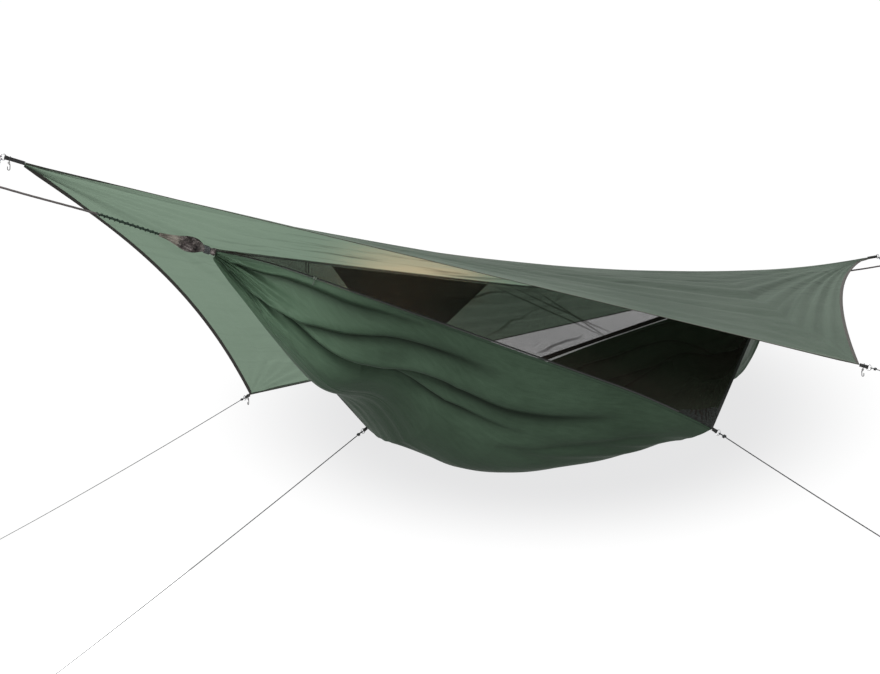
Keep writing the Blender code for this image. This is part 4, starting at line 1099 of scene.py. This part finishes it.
def fly_grid(x, q):
    """The fly's surface: q runs from -1 on the near edge over the ridge to 1 on the far edge."""
    near, far = np.array(edge_y(x, -1)), np.array(edge_y(x, 1))
    below = q[None] < 0
    reach, low = np.where(below, near[..., None], far[..., None])
    soft = 0.25
    share = (np.sqrt(q * q + soft * soft) - soft) / (math.sqrt(1 + soft * soft) - soft)
    top = ridge_height(x)[:, None]
    z = top + (low - top) * share[None]
    # Long creases in a window of each half, and small waves everywhere
    px, pq = x[:, None] * np.where(below, 1.0, -1.0), -np.abs(q)[None] * np.ones((len(x), 1))
    window = np.exp(-((px - 0.58) / 0.56) ** 2) * np.exp(-((pq + 0.42) / 0.30) ** 2)
    bend = pq + 0.016 * np.sin(2.7 * px + 9.0 * pq)
    z = z + 0.0100 * window * (np.abs(np.sin(math.pi * 6.4 * bend)) ** 0.6 - 0.70)
    z = z + 0.0035 * window * np.abs(np.cos(math.pi * 15.5 * bend + 2.0 * px)) ** 0.7
    hold = np.sin(math.pi * np.clip(np.abs(q), 0, 1))[None] ** 0.7
    z = z + 0.0011 * hold * ripples(21, 10, 3.0, 11.0, q[None], 0.8 * x[:, None])
    y = reach * q[None]
    return np.stack([np.broadcast_to(x[:, None], y.shape), y, z], -1)


def corner_pulls(grid):
    """Tension folds that fan out from the four corners."""
    for centre, count, seed in ((FLY_A, 7, 3), (FLY_C, 7, 4), (FLY_B, 9, 6), (FLY_D, 9, 7)):
        away = grid - centre
        apart = np.linalg.norm(away, axis=2)
        inward = unit(-centre * np.array((1, 1, 0)))
        side = np.cross(UP, inward)
        turn = np.arctan2(away @ side, away @ inward)
        phase = np.random.default_rng(seed).uniform(0, 6.28)
        size = 0.0032 * np.exp(-((apart - 0.10) / 0.24) ** 2) * np.minimum(1, apart / 0.08)
        grid[..., 2] += size * np.cos(count * 2.2 * turn + phase) * np.exp(-(turn / 1.1) ** 4)
    return grid


def make_fly():
    end = FLY_HALF - FLY_TIP_CLEAR
    x = np.unique(np.concatenate([np.linspace(-end, end, 340), [-FLY_ALONG, FLY_ALONG]]))
    grid = corner_pulls(fly_grid(x, np.linspace(-1, 1, 321) * 0.9985))
    fly = sheet("fly_sheet", grid, fly_cloth, uv_of(x[:, None], grid[..., 1] * 1.12))
    for name, side, start, stop, wide, thick, surface, slot in (
            ("fly_binding_head", 1, -end, -FLY_ALONG, 0.011, 0.0018, binding_webbing, "dark_webbing"),
            ("fly_hem_far", 1, -FLY_ALONG, end, 0.010, 0.0015, hem_cloth, "fly_green"),
            ("fly_hem_near", -1, -end, FLY_ALONG, 0.010, 0.0015, hem_cloth, "fly_green"),
            ("fly_binding_foot", -1, FLY_ALONG, end, 0.011, 0.0018, binding_webbing, "dark_webbing")):
        xs = np.linspace(start, stop, int((stop - start) / 0.008))
        reach, _ = edge_y(xs, side)
        width = wide * np.sqrt(1 + np.gradient(reach, xs) ** 2)
        share = np.minimum(0.45, width / np.maximum(reach, 0.011))
        rows = [[fly_grid(a[None], b[None])[0, 0] for a, b in zip(xs, side * (1 - share * k / 4))] for k in range(5)]
        strip_grid = corner_pulls(np.stack(rows, 1))
        strip = band(name + "_strip", strip_grid if side < 0 else strip_grid[:, ::-1], thick, surface, side > 0)
        stands_for(strip, name)
    return stands_for(fly, "fly_canopy"), grid_area(grid)


# Suspension

def make_gather(prefix, end):
    """The pleated gather with the whipping round its neck, and the lashing wound on the rope."""
    start, along = gather_start(end), rope_direction(end)
    across = np.array((0.0, 1.0, 0.0))
    rise = np.cross(along, across) * end
    places = np.linspace(0, 1, 90)
    radius = smooth_through((0, 0.09, 0.20, 0.34, 0.50, 0.68, 0.84, 1),
                            (0.0125, 0.0098, 0.0105, 0.0195, 0.0205, 0.0140, 0.0085, 0.0050), places)
    turn = np.linspace(0, 2 * math.pi, 120, endpoint=False)
    ruffle = sum(np.cos(round(frequency) * turn[None] + phase + lean * 9 * places[:, None])
                 for frequency, phase, lean in waves(31 + end, 6, 5.0, 14.0))
    depth = np.where((places > 0.05) & (places < 0.24), 0.020, 0.065)[:, None]
    size = radius[:, None] * (1 + depth * ruffle)
    reach = (GATHER_LENGTH * places)[:, None]
    ring = ((start + along * reach)[:, None] + across * (size * np.cos(turn))[..., None]
            + rise * (size * np.sin(turn))[..., None])
    bundle = mesh_object(prefix + "_bundle", ring, capped_faces(*size.shape), uv_of(reach, turn[None] * 0.013), TENT,
                         bundle_cloth)
    stands_for(bundle, prefix + "_gather")
    line = winding(rope_points(end)[0] + along * 0.005, along, UP, ROPE_THICK / 2, LASHING_CORD, LASHING_TURNS, 22,
                   (LASHED - 4 * LASHING_CORD) / LASHING_TURNS)
    stands_for(tube(prefix + "_lashing_cord", line, LASHING_CORD, winding_cord, sides=8), prefix + "_lashing")
    neck = start + along * (GATHER_LENGTH * 0.09 + WHIPPING_CORD / 2)
    line = winding(neck, along, UP, 0.0095 * 1.06, WHIPPING_CORD, 5, 40, WHIPPING_CORD + WIND_GAP)
    stands_for(tube(prefix + "_whipping_cord", line, WHIPPING_CORD, thin_cord, sides=10), prefix + "_whipping")


def make_strap(prefix, end):
    """The tree strap: a sewn loop of webbing round the rope's eye and the strap's two far corners."""
    nose, corner, half, thick = 0.010, 0.025, 0.075, 0.0024
    side, back = half - corner, 0.260 - nose - corner
    rollers = [(0, 0, nose), (back, side, corner), (back, -side, corner)]
    _, _, knot, outer = rope_points(end)
    slack = nose - ROPE_THICK / 2 - JOINT_CLEAR - 0.02 * KNOT_SLOPE
    origin = knot + outer * NOSE_REACH + np.array((end * slack, 0, 0))
    points = []
    for turn in 2 * math.pi * (np.arange(240) + 0.5) / 240:
        way = math.cos(turn), math.sin(turn)
        x, y, radius = max(rollers, key=lambda r: r[0] * way[0] + r[1] * way[1] + r[2])
        points.append((x + (radius + thick / 2) * way[0], y + (radius + thick / 2) * way[1]))
    points = np.array(points + points[:1])
    along = run_of(points)
    even = np.linspace(0, along[-1], 160)
    line = np.column_stack([np.interp(even, along, points[:, a]) for a in range(2)] + [np.zeros(160)])
    grid = origin + np.stack([end * line + UP * z for z in (-0.020, -0.007, 0.007, 0.020)], 1)
    stands_for(band(prefix + "_strap_webbing", grid, thick, strap_webbing), prefix + "_strap")


def make_ridgeline():
    end = HALF - NECK_CLEAR - 2 * JOINT_CLEAR
    line = ridgeline_at(np.linspace(-end, end, 400))
    made = tube("ridgeline_cord", line, RIDGELINE_THICK, thin_cord, sides=10, relief=0.05, strands=3, lay=0.016)
    stands_for(made, "ridgeline")


def make_pocket():
    """The organiser pocket: a trapezoid of net under the ridgeline."""
    top_head, top_foot = ridgeline_at((-0.813, -0.173)) - UP * 0.0046
    low_head, low_foot = (top_head + (top_foot - top_head) * share - UP * 0.220 for share in (0.30, 0.62))
    down, along = np.linspace(0, 1, 40)[:, None], np.linspace(0, 1, 90)
    head_edge = top_head + (low_head - top_head) * down
    foot_edge = top_foot + (low_foot - top_foot) * down
    grid = head_edge[:, None] + (foot_edge - head_edge)[:, None] * along[None, :, None]
    grid[..., 1] += 0.0012 * np.sin(9 * along[None] + 3 * down)
    made = sheet("pocket_mesh", grid, pocket_net, body="pocket")
    return stands_for(made, "ridgeline_pocket"), grid_area(grid)


def make_patches():
    made = []
    for name, side, corner in (("side_patch_near", -1, TIE_ALONG), ("side_patch_far", 1, -TIE_ALONG)):
        x, shares = np.linspace(corner - 0.090, corner + 0.090, 60), np.linspace(0.0, 1.0, 40)
        seam, _, rise = edge_frames(x, side)
        height = 0.10 * (1 - np.abs(x - corner) / 0.12)
        crinkle = ripples(41, 9, 18.0, 60.0, x[:, None], 5 * shares[None])
        points = ((seam + rise * 0.002)[:, None] + rise[:, None] * (height[:, None] * shares[None])[..., None]
                  + unit((0, side, -0.6)) * (0.0020 + 0.0006 * crinkle)[..., None])
        patch = sheet(name + "_cloth", points, patch_cloth)
        made.append((stands_for(patch, name), grid_area(points)))
    return made


# Stage

def add_light(name, kind, place, aim, power, colour=(1, 1, 1), **settings):
    light = bpy.data.lights.new(name, kind)
    light.energy = power
    light.color = colour
    for key, value in settings.items():
        setattr(light, key, value)
    obj = placed(name, light)
    obj.location = place
    obj.rotation_euler = (Vector(aim) - Vector(place)).to_track_quat("-Z", "Y").to_euler()


def spot_light(name, place, aim, width, size, power, colour=(1, 1, 1)):
    """A spot with soft edges, whose place and aim are in the hang frame."""
    add_light(name, "SPOT", place + ROOT, aim + ROOT, power, colour, spot_size=math.radians(width), spot_blend=1.0,
              shadow_soft_size=size)


def stage_piece(name, corners, surface):
    """A flat piece that is seen but doesn't light or shade the tent."""
    mesh = bpy.data.meshes.new(name)
    mesh.from_pydata(corners, [], [range(len(corners))])
    mesh.materials.append(surface)
    obj = placed(name, mesh)
    obj.visible_diffuse = obj.visible_glossy = obj.visible_transmission = obj.visible_shadow = False
    return obj


def make_floor():
    made, tree, shader = new_material("pale_floor", 0.9, specular=0.1)
    feed(shader.inputs["Base Color"], mix_colour(noise(object_place(tree), 0.6, 2.0), grey(0.88), grey(0.92)))
    feed(shader.inputs["Emission Color"], grey(1))
    feed(shader.inputs["Emission Strength"], 0.30)
    stage_piece("floor", [(ROOT[0] + FLOOR_RADIUS * math.cos(a), FLOOR_RADIUS * math.sin(a), FLOOR_LEVEL)
                          for a in np.linspace(0, 2 * math.pi, 97)[:-1]], made)


def make_backdrop():
    """A far pale wall with a soft grey oval on it, as behind the tent in the photograph: a painted shadow."""
    made = bpy.data.materials.new("pale_wall")
    made.use_nodes = True
    tree = made.node_tree
    tree.nodes.remove(tree.nodes["Principled BSDF"])
    (x, z), (wide, high) = SHADOW_OVAL_PLACE, SHADOW_OVAL_SIZE
    # Painted shadow: the wall's white greys towards a soft oval behind the tent
    shadow_oval = Signal(node(tree, "ShaderNodeMapping", {"Vector": object_place(tree), "Location": (-x / wide, 0, -z / high),
                                                   "Scale": (1 / wide, 0, 1 / high)}))
    away = Signal(node(tree, "ShaderNodeVectorMath", {0: shadow_oval}, operation="LENGTH"), "Value")
    share = Signal(node(tree, "ShaderNodeMapRange", {0: away, 1: 0.62, 2: 1.28, 3: 1.0, 4: 0.0},
                        interpolation_type="SMOOTHSTEP"))
    light = node(tree, "ShaderNodeEmission", {0: mix_colour(share, grey(1), (0.765, 0.765, 0.770)), 1: 1.02})
    feed(tree.nodes["Material Output"].inputs[0], Signal(light))
    wall = stage_piece("backdrop", [(-26, 0, -14), (26, 0, -14), (26, 0, 16), (-26, 0, 16)], made)
    wall.location = Vector(CAMERA_PLACE) + WALL_AWAY * Vector((-math.sin(CAMERA_TURN), math.cos(CAMERA_TURN), 0))
    wall.rotation_euler = (0, 0, CAMERA_TURN)


def make_stage():
    scene = bpy.context.scene
    scene.view_settings.view_transform = "Standard"
    world = bpy.data.worlds.new("studio")
    world.use_nodes = True
    tree = world.node_tree
    lift = Signal(node(tree, "ShaderNodeSeparateXYZ", {0: Signal(node(tree, "ShaderNodeTexCoord"), "Generated")}), 2)
    seen = Signal(node(tree, "ShaderNodeLightPath"), "Is Camera Ray")
    background = tree.nodes["Background"]
    feed(background.inputs[0], grey(1))
    feed(background.inputs[1], lift.ranged(-0.6, 0.8, 0.49, 1.22).then("MAXIMUM", seen))
    scene.world = world
    make_floor()
    make_backdrop()
    camera_data = bpy.data.cameras.new("camera")
    camera_data.lens = CAMERA_LENS
    camera_data.sensor_width = 36.0
    camera = placed("camera", camera_data)
    camera.location = CAMERA_PLACE
    camera.rotation_euler = (math.pi / 2 + CAMERA_LIFT, 0, CAMERA_TURN)
    scene.camera = camera
    add_light("key", "AREA", (0.0, 1.9, 3.4), (2.2, 0, -0.4), 240, size=2.2)
    add_light("fill", "AREA", (-2.6, -3.4, 2.6), (1.9, 0, -0.5), 260, size=2.0)
    spot_light("warm", (-0.15, 2.255, 0.77), (-0.385, 0.150, 0.01), 18.5, 0.14, 1120, (1.0, 0.43, 0.30))
    spot_light("kick", (-3.0, -1.7, -0.20), (-1.17, -0.11, -0.14), 14, 0.25, 440)


make_stage()
make_cords()
body, body_area = make_body()
net, net_area = make_net()
fly, fly_area = make_fly()
make_tapes()
make_chain()
for corner_name in CORNERS:
    make_corner(corner_name)
for end_name, end_side in (("head", -1), ("foot", 1)):
    make_gather(end_name, end_side)
    make_strap(end_name, end_side)
make_ridgeline()
pocket, pocket_area = make_pocket()
patches = make_patches()

for name, surface in (("zip_slider", slider_metal), ("zip_bail", dark_metal), ("zip_pull", dark_metal),
                      ("zip_stop_head", dark_metal), ("zip_stop_foot", dark_metal), ("pocket_tab_head", plain_webbing),
                      ("pocket_tab_foot", plain_webbing), ("ridgeline_loop", plain_webbing)):
    dress(name, surface)
